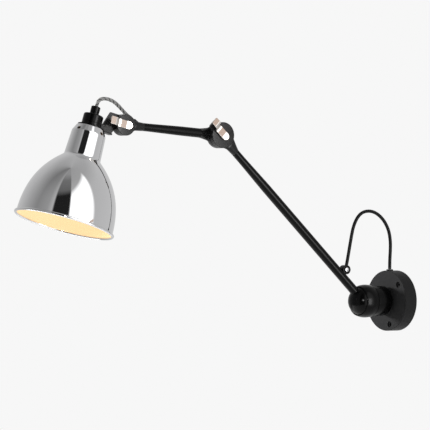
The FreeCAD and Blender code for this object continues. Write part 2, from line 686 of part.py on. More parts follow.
def clamp_bolt(label, placement, bolt_r, head, head_tall, back, top):
    """A bolt along y with a domed head on the far side."""
    return turned(label, placement.multiply(FLIP), [
        (0.0, -(back + head_tall)), (head / 2 - 1.5, -(back + head_tall)),
        (head / 2, -(back + head_tall - 1.5)), (head / 2, -back), (bolt_r, -back),
        (bolt_r, top), (0.0, top)], {1: 1.6})


lever_top = near_face + S.face_gap + S.lever_hub_tall
clamp_bolt("elbow_bolt", ELBOW, elbow_bolt_r, S.bolt_head, S.bolt_head_tall,
           tall_of + S.washer_thick + S.face_gap, lever_top - 0.6)


def clamp_lever(label, placement, face, bolt_r, reach, direction):
    """A bent strip on a round hub: flat over the hub, a step outwards, and a
    flat end that a thumb can lift."""
    body = new_body(label, placement)
    hub = circle(new_sketch(body, "XZ_Plane", -(face + S.lever_hub_tall)), 0.0, 0.0,
                 S.lever_wide / 2)
    pad(body, hub, S.lever_hub_tall)
    t = S.lever_thick
    low = face + S.lever_hub_tall - t
    high = low + S.lever_rise
    half = S.lever_wide / 2
    bend = reach * 0.42
    flat = reach * 0.70
    side = new_sketch(body, "XY_Plane", -half)
    d = direction
    outline(side, [(0.0, low), (bend * d, low), (flat * d, high), (reach * d, high),
                   (reach * d, high + t), ((flat - t * 0.4) * d, high + t),
                   ((bend - t * 0.4) * d, low + t), (0.0, low + t)])
    pad(body, side, S.lever_wide)
    doc.recompute()
    hole = circle(new_sketch(body, "XZ_Plane"), 0.0, 0.0, bolt_r + S.run_clearance)
    last = pocket(body, hole)
    doc.recompute()
    soften(body, last, half - 0.2, lambda e: isinstance(e.Curve, Part.Line)
           and abs(e.Vertexes[0].X - (reach * d).number) < 0.01
           and abs(e.Vertexes[1].X - (reach * d).number) < 0.01
           and abs(e.Vertexes[0].Z - e.Vertexes[1].Z) < 0.01)
    return body


clamp_lever("elbow_lever", ELBOW, near_face + S.face_gap, elbow_bolt_r, S.lever_reach, 1)

# ----------------------------------------------------------------- upper arm

fore_tip_at = S.fore_length - S.fore_end
turned("upper_arm_tube", UPPER, [
    (S.tube_end, S.tip_bore / 2), (S.tube_end, tube_r),
    (S.fore_length - S.fore_taper_from, tube_r),
    (S.fore_length - S.fore_taper_to, S.fore_tip / 2), (fore_tip_at, S.fore_tip / 2),
    (fore_tip_at, S.tip_bore / 2)], axis="H_Axis")
head_bolt_r = S.head_bolt / 2
near_half = joint_half("head_near_half", WRIST, S.head_dia, S.head_half, 1, -1, S.fore_tip,
           S.fore_end, S.head_neck_reach, S.head_neck_tall, head_bolt_r, S.head_edge)
head_tall = S.head_half + S.disc_gap
turned("head_friction_disc", WRIST.multiply(FLIP), [
    (head_bolt_r, -(S.disc_gap - S.face_gap)), (S.head_friction / 2, -(S.disc_gap - S.face_gap)),
    (S.head_friction / 2, S.disc_gap), (head_bolt_r, S.disc_gap)])
head_face = head_tall + S.face_gap
clamp_bolt("head_bolt", WRIST, head_bolt_r, S.head_bolt_head, S.bolt_head_tall,
           head_tall + S.washer_thick + S.face_gap, head_face + S.lever_hub_tall - 0.6)
LEVER = WRIST.multiply(place(0, 0, 0, V(0, 1, 0), S.head_lever_turn.number))
clamp_lever("head_lever", LEVER, head_face, head_bolt_r, S.head_lever_reach, 1)
# where the lamp's own cord goes into the upper arm, on its far side
FORE_GLAND = WRIST.multiply(place(
    -S.fore_gland_at.number, 0, 0, V(1, 0, 0), S.fore_gland_turn.number)).multiply(place(
        0, 0, 0, V(0, 1, 0), S.fore_gland_lean.number))
fore_gland_foot = S.fore_tip / 2 - 4
turned("upper_arm_gland", FORE_GLAND, [
    (0.0, fore_gland_foot), (S.fore_gland_dia / 2, fore_gland_foot),
    (S.fore_gland_dia / 2, S.fore_tip / 2 + S.fore_gland_reach - 0.6),
    (S.fore_gland_dia / 2 - 0.6, S.fore_tip / 2 + S.fore_gland_reach),
    (0.0, S.fore_tip / 2 + S.fore_gland_reach)])

FINISHED["head_near_half"] = drill("head_near_half", near_half, FORE_GLAND,
                                   S.fore_gland_dia / 2, fore_gland_foot,
                                   S.fore_gland_reach + 4)

# ---------------------------------------------------------------- lamp head

# bracket: far half disc, an upright web and a plate that carries the holder
plate_top = -(S.shade_drop - S.plate_thick)
body = new_body("head_bracket", HEAD)
far = circle(new_sketch(body, "XZ_Plane", S.disc_gap), 0.0, 0.0, S.head_dia / 2)
pad(body, far, S.head_half)
web_back = S.disc_gap + 1.2
web = new_sketch(body, "XZ_Plane", web_back)
outline(web, [(0.0, S.head_dia / 2 - 3), (27.0, 12.5), (S.shade_reach - S.plate_dia / 2 + 1, plate_top),
              (S.shade_reach - S.plate_dia / 2 + 1, -S.shade_drop), (18.0, -S.shade_drop),
              (12.0, -10.0), (0.0, -S.head_dia / 2 + 3)])
pad(body, web, S.web_thick)
tab = new_sketch(body, "XY_Plane", -S.shade_drop)
outline(tab, [(18.0, -(web_back + S.web_thick)), (S.shade_reach, -(web_back + S.web_thick) - 6),
              (S.shade_reach, web_back + S.web_thick), (18.0, -web_back + 6)])
pad(body, tab, S.plate_thick)
plate = new_sketch(body, "XY_Plane", -S.shade_drop)
circle(plate, S.shade_reach, 0.0, S.plate_dia / 2)
pad(body, plate, S.plate_thick)
doc.recompute()
eye = circle(new_sketch(body, "XY_Plane"), S.shade_reach, 0.0, S.holder_dia / 2)
pocket(body, eye)
doc.recompute()
pin = circle(new_sketch(body, "XZ_Plane"), 0.0, 0.0, head_bolt_r + S.run_clearance)
last = pocket(body, pin)
doc.recompute()
soften(body, last, S.head_edge, lambda e: is_circle(e, S.head_dia / 2)
       and abs(e.Curve.Center.y + head_tall.number) < 0.01)
turned("head_washer", HEAD.multiply(FLIP), [
    (head_bolt_r + S.run_clearance, -head_tall), (S.head_washer / 2, -head_tall),
    (S.head_washer / 2, -(head_tall + S.washer_thick)),
    (head_bolt_r + S.run_clearance, -(head_tall + S.washer_thick))])

# lamp holder, from the top: cord grip, cover, threaded body, ring nut
cover_r = S.cover_dia / 2
cover_foot = plate_top
cover_top = cover_foot + S.cover_tall
turned("cord_grip", LAMP, [
    (0.0, cover_top), (S.grip_dia / 2, cover_top),
    (S.grip_dia / 2, cover_top + S.grip_tall - S.grip_edge),
    (S.grip_dia / 2 - S.grip_edge, cover_top + S.grip_tall),
    (0.0, cover_top + S.grip_tall)], {2: S.grip_edge * 1.001})
inner = cover_r - S.cover_wall
turned("holder_cover", LAMP, [
    (0.0, cover_top), (0.0, cover_top - S.cover_wall),
    (inner, cover_top - S.cover_wall - 1), (inner, cover_foot), (cover_r, cover_foot),
    (cover_r, cover_top - S.cover_edge), (cover_r - S.cover_edge, cover_top)],
    {5: S.cover_edge * 1.001})
holder_r = S.holder_dia / 2
shade_top = -S.shade_drop
turned("holder_insulator", LAMP, [
    (0.0, cover_foot), (S.insulator_dia / 2, cover_foot),
    (S.insulator_dia / 2, cover_foot + S.insulator_tall), (0.0, cover_foot + S.insulator_tall)])
turned("holder_shell", LAMP, [
    (S.cap_bore / 2, cover_foot - S.holder_deep), (holder_r, cover_foot - S.holder_deep),
    (holder_r, cover_foot), (0.0, cover_foot), (0.0, cover_foot - 3),
    (S.cap_bore / 2, cover_foot - 3)])
turned("shade_ring_nut", LAMP, [
    (holder_r, shade_top - S.shade_wall), (holder_r, shade_top - S.shade_wall - S.nut_ring_tall),
    (S.nut_ring_dia / 2, shade_top - S.shade_wall - S.nut_ring_tall),
    (S.nut_ring_dia / 2, shade_top - S.shade_wall)])

# shade: spun sheet with a neck, a bell and a rolled edge
t = S.shade_wall


def station(down, dia, inset=0.0):
    return (size(dia) / 2 - inset, shade_top - down)


mouth = shade_top - S.shade_height
bead_r = S.bead_dia / 2
bead_at = mouth + bead_r
body = new_body("lamp_shade", LAMP)
sk = new_sketch(body, "XZ_Plane")
wall = [
    (holder_r, shade_top), station(0.0, S.top_dia),
    station(S.shoulder_tall, S.neck_top_dia), station(S.neck_foot, S.neck_foot_dia),
    station(S.bowl_one, S.bowl_one_dia), station(S.bowl_two, S.bowl_two_dia),
    station(S.bowl_three, S.bowl_three_dia), station(S.bowl_four, S.bowl_four_dia),
    (S.bowl_four_dia / 2, mouth + bead_r), (S.bowl_four_dia / 2 - t, mouth + bead_r),
    station(S.bowl_four, S.bowl_four_dia, t), station(S.bowl_three, S.bowl_three_dia, t * 1.05),
    station(S.bowl_two, S.bowl_two_dia, t * 1.15), station(S.bowl_one, S.bowl_one_dia, t * 1.3),
    station(S.neck_foot + 0.6, S.neck_foot_dia, t), station(S.shoulder_tall, S.neck_top_dia, t),
    (S.top_dia / 2 - 0.4, shade_top - t), (holder_r, shade_top - t)]
outline(sk, wall, {1: -14.0, 3: -70.0, 4: -110.0, 5: -100.0, 6: -260.0,
                   10: 260.0, 11: 100.0, 12: 110.0, 13: 70.0, 15: 14.0})
revolve(body, sk)
doc.recompute()
bead = new_sketch(body, "XZ_Plane")
circle(bead, S.bowl_four_dia / 2 + bead_r * 0.4, mouth + bead_r, bead_r)
revolve(body, bead)
doc.recompute()
vent_x = (S.top_dia + S.neck_top_dia) / 4
vent = new_sketch(body, "XY_Plane", shade_top - S.shoulder_tall - 2)
half_long = (S.vent_long - S.vent_dia) / 2
vr = S.vent_dia / 2
outline(vent, [(vent_x - vr, -half_long), (vent_x + vr, -half_long),
               (vent_x + vr, half_long), (vent_x - vr, half_long)],
        {0: vr * 1.001, 2: vr * 1.001})
cut = pocket(body, vent, S.shoulder_tall + 4, back=True)
repeat(body, cut, vent, S.vent_count)
lamp_shade = body

# bulb: screw cap and glass
cap_top = cover_foot - 5
cap_foot = cap_top - S.cap_long
cap_r = S.cap_dia / 2
turned("bulb_cap", LAMP, [
    (0.0, cap_top), (S.contact_dia / 2, cap_top), (cap_r, cap_top - 4),
    (cap_r, cap_foot), (0.0, cap_foot)])
glass_r = S.bulb_dia / 2
glass_mid = cap_foot - S.bulb_long + glass_r
neck_z = glass_mid + chord(glass_r, size(17.0))
turned("bulb_glass", LAMP, [
    (0.0, cap_foot), (cap_r - 0.5, cap_foot), (17.0, neck_z), (0.0, glass_mid - glass_r)],
    {1: 24.0, 2: -glass_r})

# ------------------------------------------------------------------- cords

# routes in millimetres, in the lamp's own frame, as they hang
WALL_CORD = [
    (0.0, -15.6, 52.25), (0.0, -15.6, 65.0), (0.0, -14.3, 81.0), (0.0, -13.9, 98.0),
    (-0.1, -17.0, 115.0), (-0.4, -24.8, 129.2), (-0.9, -35.6, 140.2), (-1.5, -49.0, 147.4),
    (-2.1, -63.0, 149.0), (-2.6, -76.2, 145.4), (-2.9, -86.0, 135.6), (-3.2, -92.8, 122.0),
    (-3.3, -96.6, 107.0), (-3.5, -99.8, 92.0), (-3.7, -103.0, 76.6), (-3.418, -106.521, 62.158),
    (-3.72, -109.396, 50.564)]
HEAD_CORD = [
    (50.769, 0.0, 28.4), (48.586, 0.0, 35.24), (43.2, -0.9, 40.05), (35.4, -2.2, 41.7),
    (24.5, -4.4, 40.6), (13.7, -6.8, 36.9), (4.5, -9.1, 31.0), (-3.7, -11.0, 24.6),
    (-11.0, -12.2, 18.4), (-17.937, -11.134, 12.884),
    (-22.446, -7.263, 7.558)]


def cord(label, points, dia):
    """A round cord: straight runs joined by arcs as large as they allow."""
    pts = [V(*p) for p in points]
    edges, start, length, radii = [], pts[0], 0.0, []
    for a, b, c in zip(pts, pts[1:], pts[2:]):
        one, two = (b - a), (c - b)
        short = min(one.Length, two.Length)
        one.normalize()
        two.normalize()
        turn = math.acos(max(-1.0, min(1.0, one.dot(two))))
        cut = 0.45 * short
        radius = cut / math.tan(turn / 2)
        radii.append(radius)
        p, q = b - one * cut, b + two * cut
        inward = (two - one)
        inward.normalize()
        centre = b + inward * (radius / math.cos(turn / 2))
        middle = centre - inward * radius
        edges.append(Part.LineSegment(start, p).toShape())
        edges.append(Part.Arc(p, middle, q).toShape())
        length += (p - start).Length + radius * turn
        start = q
    edges.append(Part.LineSegment(start, pts[-1]).toShape())
    length += (pts[-1] - start).Length
    path = Part.Wire(edges)
    along = pts[1] - pts[0]
    ring = Part.Wire(Part.Circle(pts[0], along, dia / 2).toShape())
    shape = path.makePipeShell([ring], True, True)
    section = math.pi * dia ** 2 / 4
    print(label, "length %.1f" % length, "volume ratio %.4f" % (shape.Volume / (section * length)),
          "radii", " ".join("%.0f" % r for r in radii))
    feature = doc.addObject("Part::Feature", label)
    feature.Label = label
    feature.Shape = shape
    return feature


FINISHED["wall_cord"] = cord("wall_cord", WALL_CORD, S.cord_dia.number)
head_origin = ARMS.multiply(place(head_x, 0, head_z))
FINISHED["head_cord"] = cord(
    "head_cord", [tuple(head_origin.multVec(V(*p))) for p in HEAD_CORD], S.head_cord_dia.number)

# ------------------------------------------------------------- the finished parts

doc.recompute()
failed = [o.Label for o in doc.Objects if "Invalid" in o.State or "Error" in o.State]
if failed:
    raise RuntimeError("not built: " + ", ".join(failed))
pieces = {}
for item in doc.Objects:
    if item.TypeId == "PartDesign::Body" and not item.Label.endswith("_blank"):
        pieces[item.Label] = item
pieces.update(FINISHED)
os.makedirs("parts", exist_ok=True)
for label, item in sorted(pieces.items()):
    shape = item.Shape
    if shape.isNull() or not shape.isValid() or len(shape.Solids) != 1:
        raise RuntimeError("%s: null %s, valid %s, solids %d" % (
            label, shape.isNull(), shape.isValid(), len(shape.Solids)))
for label, item in sorted(pieces.items()):
    item.Shape.exportStep("parts/%s.step" % label)
print(len(pieces), "parts")
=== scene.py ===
import math

import bmesh
import bpy
from mathutils import Matrix, Vector
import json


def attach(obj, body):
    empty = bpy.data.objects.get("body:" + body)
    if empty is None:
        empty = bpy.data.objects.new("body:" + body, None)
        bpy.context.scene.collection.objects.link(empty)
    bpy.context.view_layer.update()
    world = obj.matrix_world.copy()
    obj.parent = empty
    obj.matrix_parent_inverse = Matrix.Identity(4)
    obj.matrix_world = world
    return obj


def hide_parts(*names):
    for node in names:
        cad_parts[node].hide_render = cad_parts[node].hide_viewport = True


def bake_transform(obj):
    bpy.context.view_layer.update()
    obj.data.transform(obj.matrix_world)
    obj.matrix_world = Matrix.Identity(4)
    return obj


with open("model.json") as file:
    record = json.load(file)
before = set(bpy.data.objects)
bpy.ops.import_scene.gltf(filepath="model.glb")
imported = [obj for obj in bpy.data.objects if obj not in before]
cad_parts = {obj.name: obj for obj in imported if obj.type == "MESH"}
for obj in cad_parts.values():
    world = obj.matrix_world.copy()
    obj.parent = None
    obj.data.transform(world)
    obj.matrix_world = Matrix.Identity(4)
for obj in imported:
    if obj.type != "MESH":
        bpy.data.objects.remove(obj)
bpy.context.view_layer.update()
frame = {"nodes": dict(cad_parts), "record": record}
nodes = frame["nodes"]

# ------------------------------------------------------------------ the pose
# All lengths are in metres.  The arms' plane is turned a little from square to
# the wall, and every arm frame has x along the arm and y to the near side.

MM = 0.001
YAW, ARM_RISE, FORE_RISE, SHADE_LEAN = 6.0, 44.0, 4.5, 17.7
ARM_LENGTH, FORE_LENGTH, SHADE_REACH = 390 * MM, 183.5 * MM, 57 * MM
BALL = Vector((0, -74 * MM, 0))


def turn(axis, degrees):
    return Matrix.Rotation(math.radians(degrees), 4, axis)


ARMS = Matrix.Translation(BALL) @ turn("Z", -90 - YAW)


def in_plane(x, z, rise):
    return ARMS @ Matrix.Translation((x, 0, z)) @ turn("Y", -rise)


elbow_x = ARM_LENGTH * math.cos(math.radians(ARM_RISE))
elbow_z = ARM_LENGTH * math.sin(math.radians(ARM_RISE))
wrist_x = elbow_x + FORE_LENGTH * math.cos(math.radians(FORE_RISE))
wrist_z = elbow_z + FORE_LENGTH * math.sin(math.radians(FORE_RISE))
HUB = turn("X", 90)
LOWER = in_plane(0, 0, ARM_RISE)
UPPER = in_plane(elbow_x, elbow_z, FORE_RISE)
LAMP = in_plane(wrist_x, wrist_z, SHADE_LEAN) @ Matrix.Translation((SHADE_REACH, 0, 0))
ELBOW_LEVER = in_plane(elbow_x, elbow_z, ARM_RISE)
HEAD_LEVER = in_plane(wrist_x, wrist_z, FORE_RISE) @ turn("Y", -9.0)
HEAD_ORIGIN = ARMS @ Matrix.Translation((wrist_x, 0, wrist_z))

# ----------------------------------------------------------------- materials


def shader(name):
    mat = bpy.data.materials.new(name)
    mat.use_nodes = True
    tree = mat.node_tree
    return mat, tree, tree.nodes["Principled BSDF"]


def grain(tree, bsdf, scale, strength, distance, detail=4.0, rough=None):
    """A fine unevenness of the surface, and of its gloss where rough is given."""
    coords = tree.nodes.new("ShaderNodeTexCoord")
    noise = tree.nodes.new("ShaderNodeTexNoise")
    noise.inputs["Scale"].default_value = scale
    noise.inputs["Detail"].default_value = detail
    tree.links.new(coords.outputs["Object"], noise.inputs["Vector"])
    bump = tree.nodes.new("ShaderNodeBump")
    bump.inputs["Strength"].default_value = strength
    bump.inputs["Distance"].default_value = distance
    tree.links.new(noise.outputs["Fac"], bump.inputs["Height"])
    tree.links.new(bump.outputs["Normal"], bsdf.inputs["Normal"])
    if rough:
        wide = tree.nodes.new("ShaderNodeTexNoise")
        wide.inputs["Scale"].default_value = 35.0
        wide.inputs["Detail"].default_value = 3.0
        tree.links.new(coords.outputs["Object"], wide.inputs["Vector"])
        span = tree.nodes.new("ShaderNodeMapRange")
        span.inputs["To Min"].default_value = rough[0]
        span.inputs["To Max"].default_value = rough[1]
        tree.links.new(wide.outputs["Fac"], span.inputs["Value"])
        tree.links.new(span.outputs["Result"], bsdf.inputs["Roughness"])
    return coords


def maths_in(tree):
    """A short way to add Math nodes, from numbers or sockets, to a graph."""
    def maths(kind, a, b=None):
        node = tree.nodes.new("ShaderNodeMath")
        node.operation = kind
        for socket, value in zip(node.inputs, (a, b)):
            if isinstance(value, (int, float)):
                socket.default_value = value
            elif value is not None:
                tree.links.new(value, socket)
        return node.outputs[0]

    return maths


def coated(name, colour, rough, scale=1400.0, strength=0.12, distance=0.0002, shine=0.5):
    mat, tree, bsdf = shader(name)
    bsdf.inputs["Specular IOR Level"].default_value = shine
    bsdf.inputs["Base Color"].default_value = (*colour, 1)
    grain(tree, bsdf, scale, strength, distance, rough=rough)
    return mat


def metal(name, colour, rough, scale=900.0, strength=0.05):
    mat, tree, bsdf = shader(name)
    bsdf.inputs["Base Color"].default_value = (*colour, 1)
    bsdf.inputs["Metallic"].default_value = 1.0
    grain(tree, bsdf, scale, strength, 0.0001, rough=rough)
    return mat


# The blacks are darker than real lacquer, because they follow the photo's own: painted shade,
# deepest in the satin and moulded blacks. The cast and base blacks are lighter copies of the same
# black: painted light on the knuckles and on the wall base's face.
satin_black = coated("satin black lacquer", (0.002, 0.002, 0.0021), (0.17, 0.23), strength=0.04,
                     shine=0.13)
cast_black_painted_light = coated("cast black lacquer", (0.010, 0.010, 0.0102), (0.22, 0.30), strength=0.06,
                    shine=0.32)
base_black_painted_light = coated("base lacquer", (0.030, 0.030, 0.0305), (0.34, 0.42), strength=0.06,
                    shine=0.04)
moulded_black = coated("moulded black", (0.002, 0.002, 0.0021), (0.16, 0.24), 600, 0.05,
                       shine=0.16)
nickel = metal("polished nickel", (0.80, 0.76, 0.72), (0.05, 0.08), strength=0.02)
plain_steel = metal("plain steel", (0.46, 0.46, 0.47), (0.28, 0.42))
ceramic = coated("glazed ceramic", (0.78, 0.75, 0.68), (0.12, 0.2), 300, 0.05)

mirror_chrome, tree, bsdf = shader("mirror chrome")
bsdf.inputs["Base Color"].default_value = (0.80, 0.80, 0.81, 1)
bsdf.inputs["Metallic"].default_value = 1.0
grain(tree, bsdf, 60.0, 0.02, 0.0004, 2.0, rough=(0.035, 0.06))

# The cream inside the shade is painted light: a dark base colour with an emitted warm glow, not lit
# by the bulb.
cream_enamel_painted_glow, tree, bsdf = shader("cream enamel")
bsdf.inputs["Base Color"].default_value = (0.30, 0.235, 0.15, 1)
bsdf.inputs["Roughness"].default_value = 0.5
bsdf.inputs["Emission Color"].default_value = (1.0, 0.70, 0.385, 1)
coords = grain(tree, bsdf, 500.0, 0.05, 0.0002)
# painted light: the enamel glows by emission in place of the bulb's light falling on it, and the
# glow fades out short of the vents in the neck, which stay dark
down = tree.nodes.new("ShaderNodeVectorMath")
down.operation = "SUBTRACT"
down.inputs[1].default_value = tuple(LAMP.to_translation())
tree.links.new(coords.outputs["Object"], down.inputs[0])
depth = tree.nodes.new("ShaderNodeVectorMath")
depth.operation = "DOT_PRODUCT"
depth.inputs[1].default_value = tuple(-LAMP.col[2].to_3d())
tree.links.new(down.outputs["Vector"], depth.inputs[0])
GLOW_STARTS, GLOW_IS_FULL, GLOW_STRENGTH = 45 * MM, 75 * MM, 0.86
glow = tree.nodes.new("ShaderNodeMapRange")
for socket, value in zip(("From Min", "From Max", "To Min", "To Max"),
                         (GLOW_STARTS, GLOW_IS_FULL, 0.0, GLOW_STRENGTH)):
    glow.inputs[socket].default_value = value
tree.links.new(depth.outputs["Value"], glow.inputs["Value"])
tree.links.new(glow.outputs["Result"], bsdf.inputs["Emission Strength"])

opal_glass, tree, bsdf = shader("opal glass")
bsdf.inputs["Base Color"].default_value = (0.95, 0.88, 0.76, 1)
bsdf.inputs["Roughness"].default_value = 0.35
bsdf.inputs["Emission Color"].default_value = (1.0, 0.80, 0.52, 1)
bsdf.inputs["Emission Strength"].default_value = 1.6
grain(tree, bsdf, 200.0, 0.04, 0.0002)

cord_sheath = coated("cord sheath", (0.004, 0.004, 0.004), (0.40, 0.50), 900, 0.03, shine=0.14)


def woven_sheath():
    """Two sets of yarn that cross as they wind round the cord, pale with a
    dark tracer, on the cord's own lengthwise and crosswise coordinates."""
    mat, tree, bsdf = shader("woven sheath")
    uv = tree.nodes.new("ShaderNodeUVMap")
    uv.uv_map = "yarn"
    split = tree.nodes.new("ShaderNodeSeparateXYZ")
    tree.links.new(uv.outputs["UV"], split.inputs["Vector"])
    maths = maths_in(tree)
    round_it = maths("MULTIPLY", split.outputs["X"], 10.0)
    along = maths("MULTIPLY", split.outputs["Y"], 10.0)
    one = maths("SINE", maths("MULTIPLY", maths("ADD", round_it, along), math.pi))
    two = maths("SINE", maths("MULTIPLY", maths("SUBTRACT", round_it, along), math.pi))
    high = maths("MAXIMUM", maths("ABSOLUTE", one), maths("ABSOLUTE", two))
    tracer = maths("GREATER_THAN", maths("SINE", maths(
        "MULTIPLY", maths("SUBTRACT", round_it, along), math.pi / 2.5)), 0.72)
    ramp = tree.nodes.new("ShaderNodeMapRange")
    ramp.inputs["From Min"].default_value = 0.35
    tree.links.new(high, ramp.inputs["Value"])
    shade = tree.nodes.new("ShaderNodeMix")
    shade.data_type = "RGBA"
    shade.inputs["A"].default_value = (0.12, 0.12, 0.12, 1)
    shade.inputs["B"].default_value = (0.62, 0.615, 0.60, 1)
    tree.links.new(ramp.outputs["Result"], shade.inputs["Factor"])
    mix = tree.nodes.new("ShaderNodeMix")
    mix.data_type = "RGBA"
    mix.inputs["B"].default_value = (0.05, 0.05, 0.05, 1)
    tree.links.new(tracer, mix.inputs["Factor"])
    tree.links.new(shade.outputs["Result"], mix.inputs["A"])
    tree.links.new(mix.outputs["Result"], bsdf.inputs["Base Color"])
    bump = tree.nodes.new("ShaderNodeBump")
    bump.inputs["Strength"].default_value = 0.6
    bump.inputs["Distance"].default_value = 0.0004
    tree.links.new(high, bump.inputs["Height"])
    tree.links.new(bump.outputs["Normal"], bsdf.inputs["Normal"])
    bsdf.inputs["Roughness"].default_value = 0.62
    return mat


woven = woven_sheath()

# ----------------------------------------------------------- making of pieces


def finish_piece(obj, body, node=None, sharp=32.0):
    """Smooth shading, the body that the piece rides on, and what it stands for."""
    mesh = obj.data
    mesh.shade_smooth()
    mesh.set_sharp_from_angle(angle=math.radians(sharp))
    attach(obj, body)
    if node:
        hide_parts(node)
    return obj


def new_piece(name, bm, materials):
    mesh = bpy.data.meshes.new(name)
    bm.to_mesh(mesh)
    bm.free()
    obj = bpy.data.objects.new(name, mesh)
    bpy.context.scene.collection.objects.link(obj)
    for mat in materials:
        mesh.materials.append(mat)
    return obj


def lathe(name, profile, place, materials, along="Z", steps=96, closed=True):
    """Turn (radius, height) points round the axis of a frame.  A point on the
    axis becomes a pole; heights run along the frame's z or x axis."""
    bm = bmesh.new()
    rings = []
    for radius, height in profile:
        ring = []
        for i in range(1 if radius < 1e-7 else steps):
            a = 2 * math.pi * i / steps
            p = Vector((radius * math.cos(a), radius * math.sin(a), height))
            if along == "X":
                p = Vector((height, radius * math.cos(a), radius * math.sin(a)))
            ring.append(bm.verts.new(place @ p))
        rings.append(ring)
    pairs = list(zip(rings, rings[1:]))
    if closed:
        pairs.append((rings[-1], rings[0]))
    for lower, upper in pairs:
        for i in range(steps):
            j = (i + 1) % steps
            loop = [lower[i % len(lower)], lower[j % len(lower)],
                    upper[j % len(upper)], upper[i % len(upper)]]
            corners = list(dict.fromkeys(loop))
            if len(corners) > 2:
                bm.faces.new(corners)
    bmesh.ops.recalc_face_normals(bm, faces=bm.faces)
    return new_piece(name, bm, materials)


def bow(a, b, radius, count=8):
    """Points of the arc from a to b; a negative radius bulges the other way.
    The last point is left for what follows."""
    a, b = Vector(a), Vector(b)
    half = (b - a) / 2
    side = Vector((-half.y, half.x)).normalized()
    reach = math.sqrt(max(radius ** 2 - half.length_squared, 0))
    centre = (a + b) / 2 + side * math.copysign(reach, radius)
    start = math.atan2(a.y - centre.y, a.x - centre.x)
    sweep = math.atan2(b.y - centre.y, b.x - centre.x) - start
    sweep = (sweep + math.pi) % (2 * math.pi) - math.pi
    return [(centre.x + abs(radius) * math.cos(start + sweep * i / count),
             centre.y + abs(radius) * math.sin(start + sweep * i / count))
            for i in range(count)]


def mm(points):
    return [(r * MM, z * MM) for r, z in points]


def eased(points, radius, count=5):
    """The same closed outline with every convex or hollow corner rounded."""
    out = []
    n = len(points)
    for i in range(n):
        p, here, q = (Vector(points[(i + k) % n]) for k in (-1, 0, 1))
        if here.x < 1e-6:
            out.append(tuple(here))
            continue
        u, v = (p - here), (q - here)
        cut = min(radius, 0.45 * u.length, 0.45 * v.length)
        a, b = here + u.normalized() * cut, here + v.normalized() * cut
        for k in range(count):
            t = k / (count - 1)
            m = a.lerp(here, t).lerp(here.lerp(b, t), t)
            out.append((m.x, m.y))
    return out


def smoothed_copy(node, body, mat, sharp=28.0):
    """The modelled solid with joined facets, so that its curves shade evenly."""
    source = nodes[node]
    mesh = source.data.copy()
    mesh.materials.clear()
    mesh.materials.append(mat)
    bm = bmesh.new()
    bm.from_mesh(mesh)
    bmesh.ops.remove_doubles(bm, verts=bm.verts, dist=2e-6)
    bmesh.ops.dissolve_degenerate(bm, edges=bm.edges, dist=1e-7)
    bm.to_mesh(mesh)
    bm.free()
    if mesh.has_custom_normals:
        mesh.attributes.remove(mesh.attributes["custom_normal"])
    obj = bpy.data.objects.new(node + "_finished", mesh)
    bpy.context.scene.collection.objects.link(obj)
    return finish_piece(obj, body, node, sharp)


# ------------------------------------------------------------ turned metalwork

# Millimetres from here on, in outlines that mm() turns into metres.
ball_r, seat, throat = 25.0, 25.3, 20.6
lip = math.radians(65.0)
ball_at = 74.0
barrel_at, barrel_end = 26.0, 60.0
barrel = lathe("barrel_turned", mm(eased([
    (7, barrel_at), (19.1, barrel_at), (24.6, barrel_at + 6), (24.6, barrel_end),
    (22.4, barrel_end), (22.4, 50), (19.5, 50), (19.5, 36), (17, 36), (17, 31), (7, 31)], 0.5)),
    HUB, [satin_black])
finish_piece(barrel, "barrel", "socket_barrel")

lip_r, lip_z = seat * math.sin(lip), ball_at + seat * math.cos(lip)
seat_foot = (throat, ball_at - math.sqrt(seat ** 2 - throat ** 2))
ring_r = 26.7
ring_outline = [(throat, 54), (22.3, 54), (22.3, 60.1), (25.3, 60.1), (26.2, 60.3),
                (ring_r, 61.3), (ring_r, 64.0)]
ring_outline += bow((ring_r, 64.0), (lip_r + 1.6, lip_z - 0.4), ring_r * 1.45, 14)
ring_outline += [(lip_r + 1.55, lip_z - 0.4), (lip_r + 1.2, lip_z + 0.1),
                 (lip_r + 0.8, lip_z + 0.3), (lip_r + 0.25, lip_z + 0.2)]
ring_outline += bow((lip_r, lip_z), seat_foot, -seat, 18)
ring_outline += [seat_foot]
ring = lathe("ring_turned", mm(ring_outline), HUB, [satin_black])
finish_piece(ring, "barrel", "socket_ring", 40)

bore, pocket_r, pocket_at = 4.55, 8.0, -9.0
ball_outline = [(bore, pocket_at), (pocket_r, pocket_at)]
ball_top = (bore, math.sqrt(ball_r ** 2 - bore ** 2))
ball_outline += bow((pocket_r, -math.sqrt(ball_r ** 2 - pocket_r ** 2)),
                    (ball_r, 0.0), ball_r, 20)
ball_outline += bow((ball_r, 0.0), ball_top, ball_r, 24)
ball_outline += [ball_top]
ball = lathe("ball_turned", mm(ball_outline), LOWER, [satin_black], "X", 112)
finish_piece(ball, "ball", "pivot_ball", 40)


TUBE_R, TUBE_BORE, TIP_BORE = 7.5, 6.0, 4.9


def tube(name, node, body, place, start, end, taper, tip):
    """A drawn tube, swaged down to its tip between the two taper stations."""
    outline = [(TUBE_BORE, start), (7.2, start), (TUBE_R, start + 0.3), (TUBE_R, taper[0] - 6)]
    for i in range(7):
        t = i / 6
        ease = t * t * (3 - 2 * t)
        outline.append((TUBE_R + (tip - TUBE_R) * (0.25 * ease + 0.75 * t),
                        taper[0] + (taper[1] - taper[0]) * t))
    outline += [(tip, end - 0.3), (tip - 0.3, end), (TIP_BORE, end), (TIP_BORE, taper[1]),
                (TUBE_BORE, taper[0])]
    piece = lathe(name, mm(outline), place, [satin_black], "X", 72)
    return finish_piece(piece, body, node, 25)


tube("long_tube", "lower_arm_tube", "lower_arm", LOWER, 28, 350, (266, 332), 6.3)
tube("short_tube", "upper_arm_tube", "upper_arm", UPPER, 40, 147.5, (73.5, 138.5), 6.45)

# ------------------------------------------------------------------ the shade

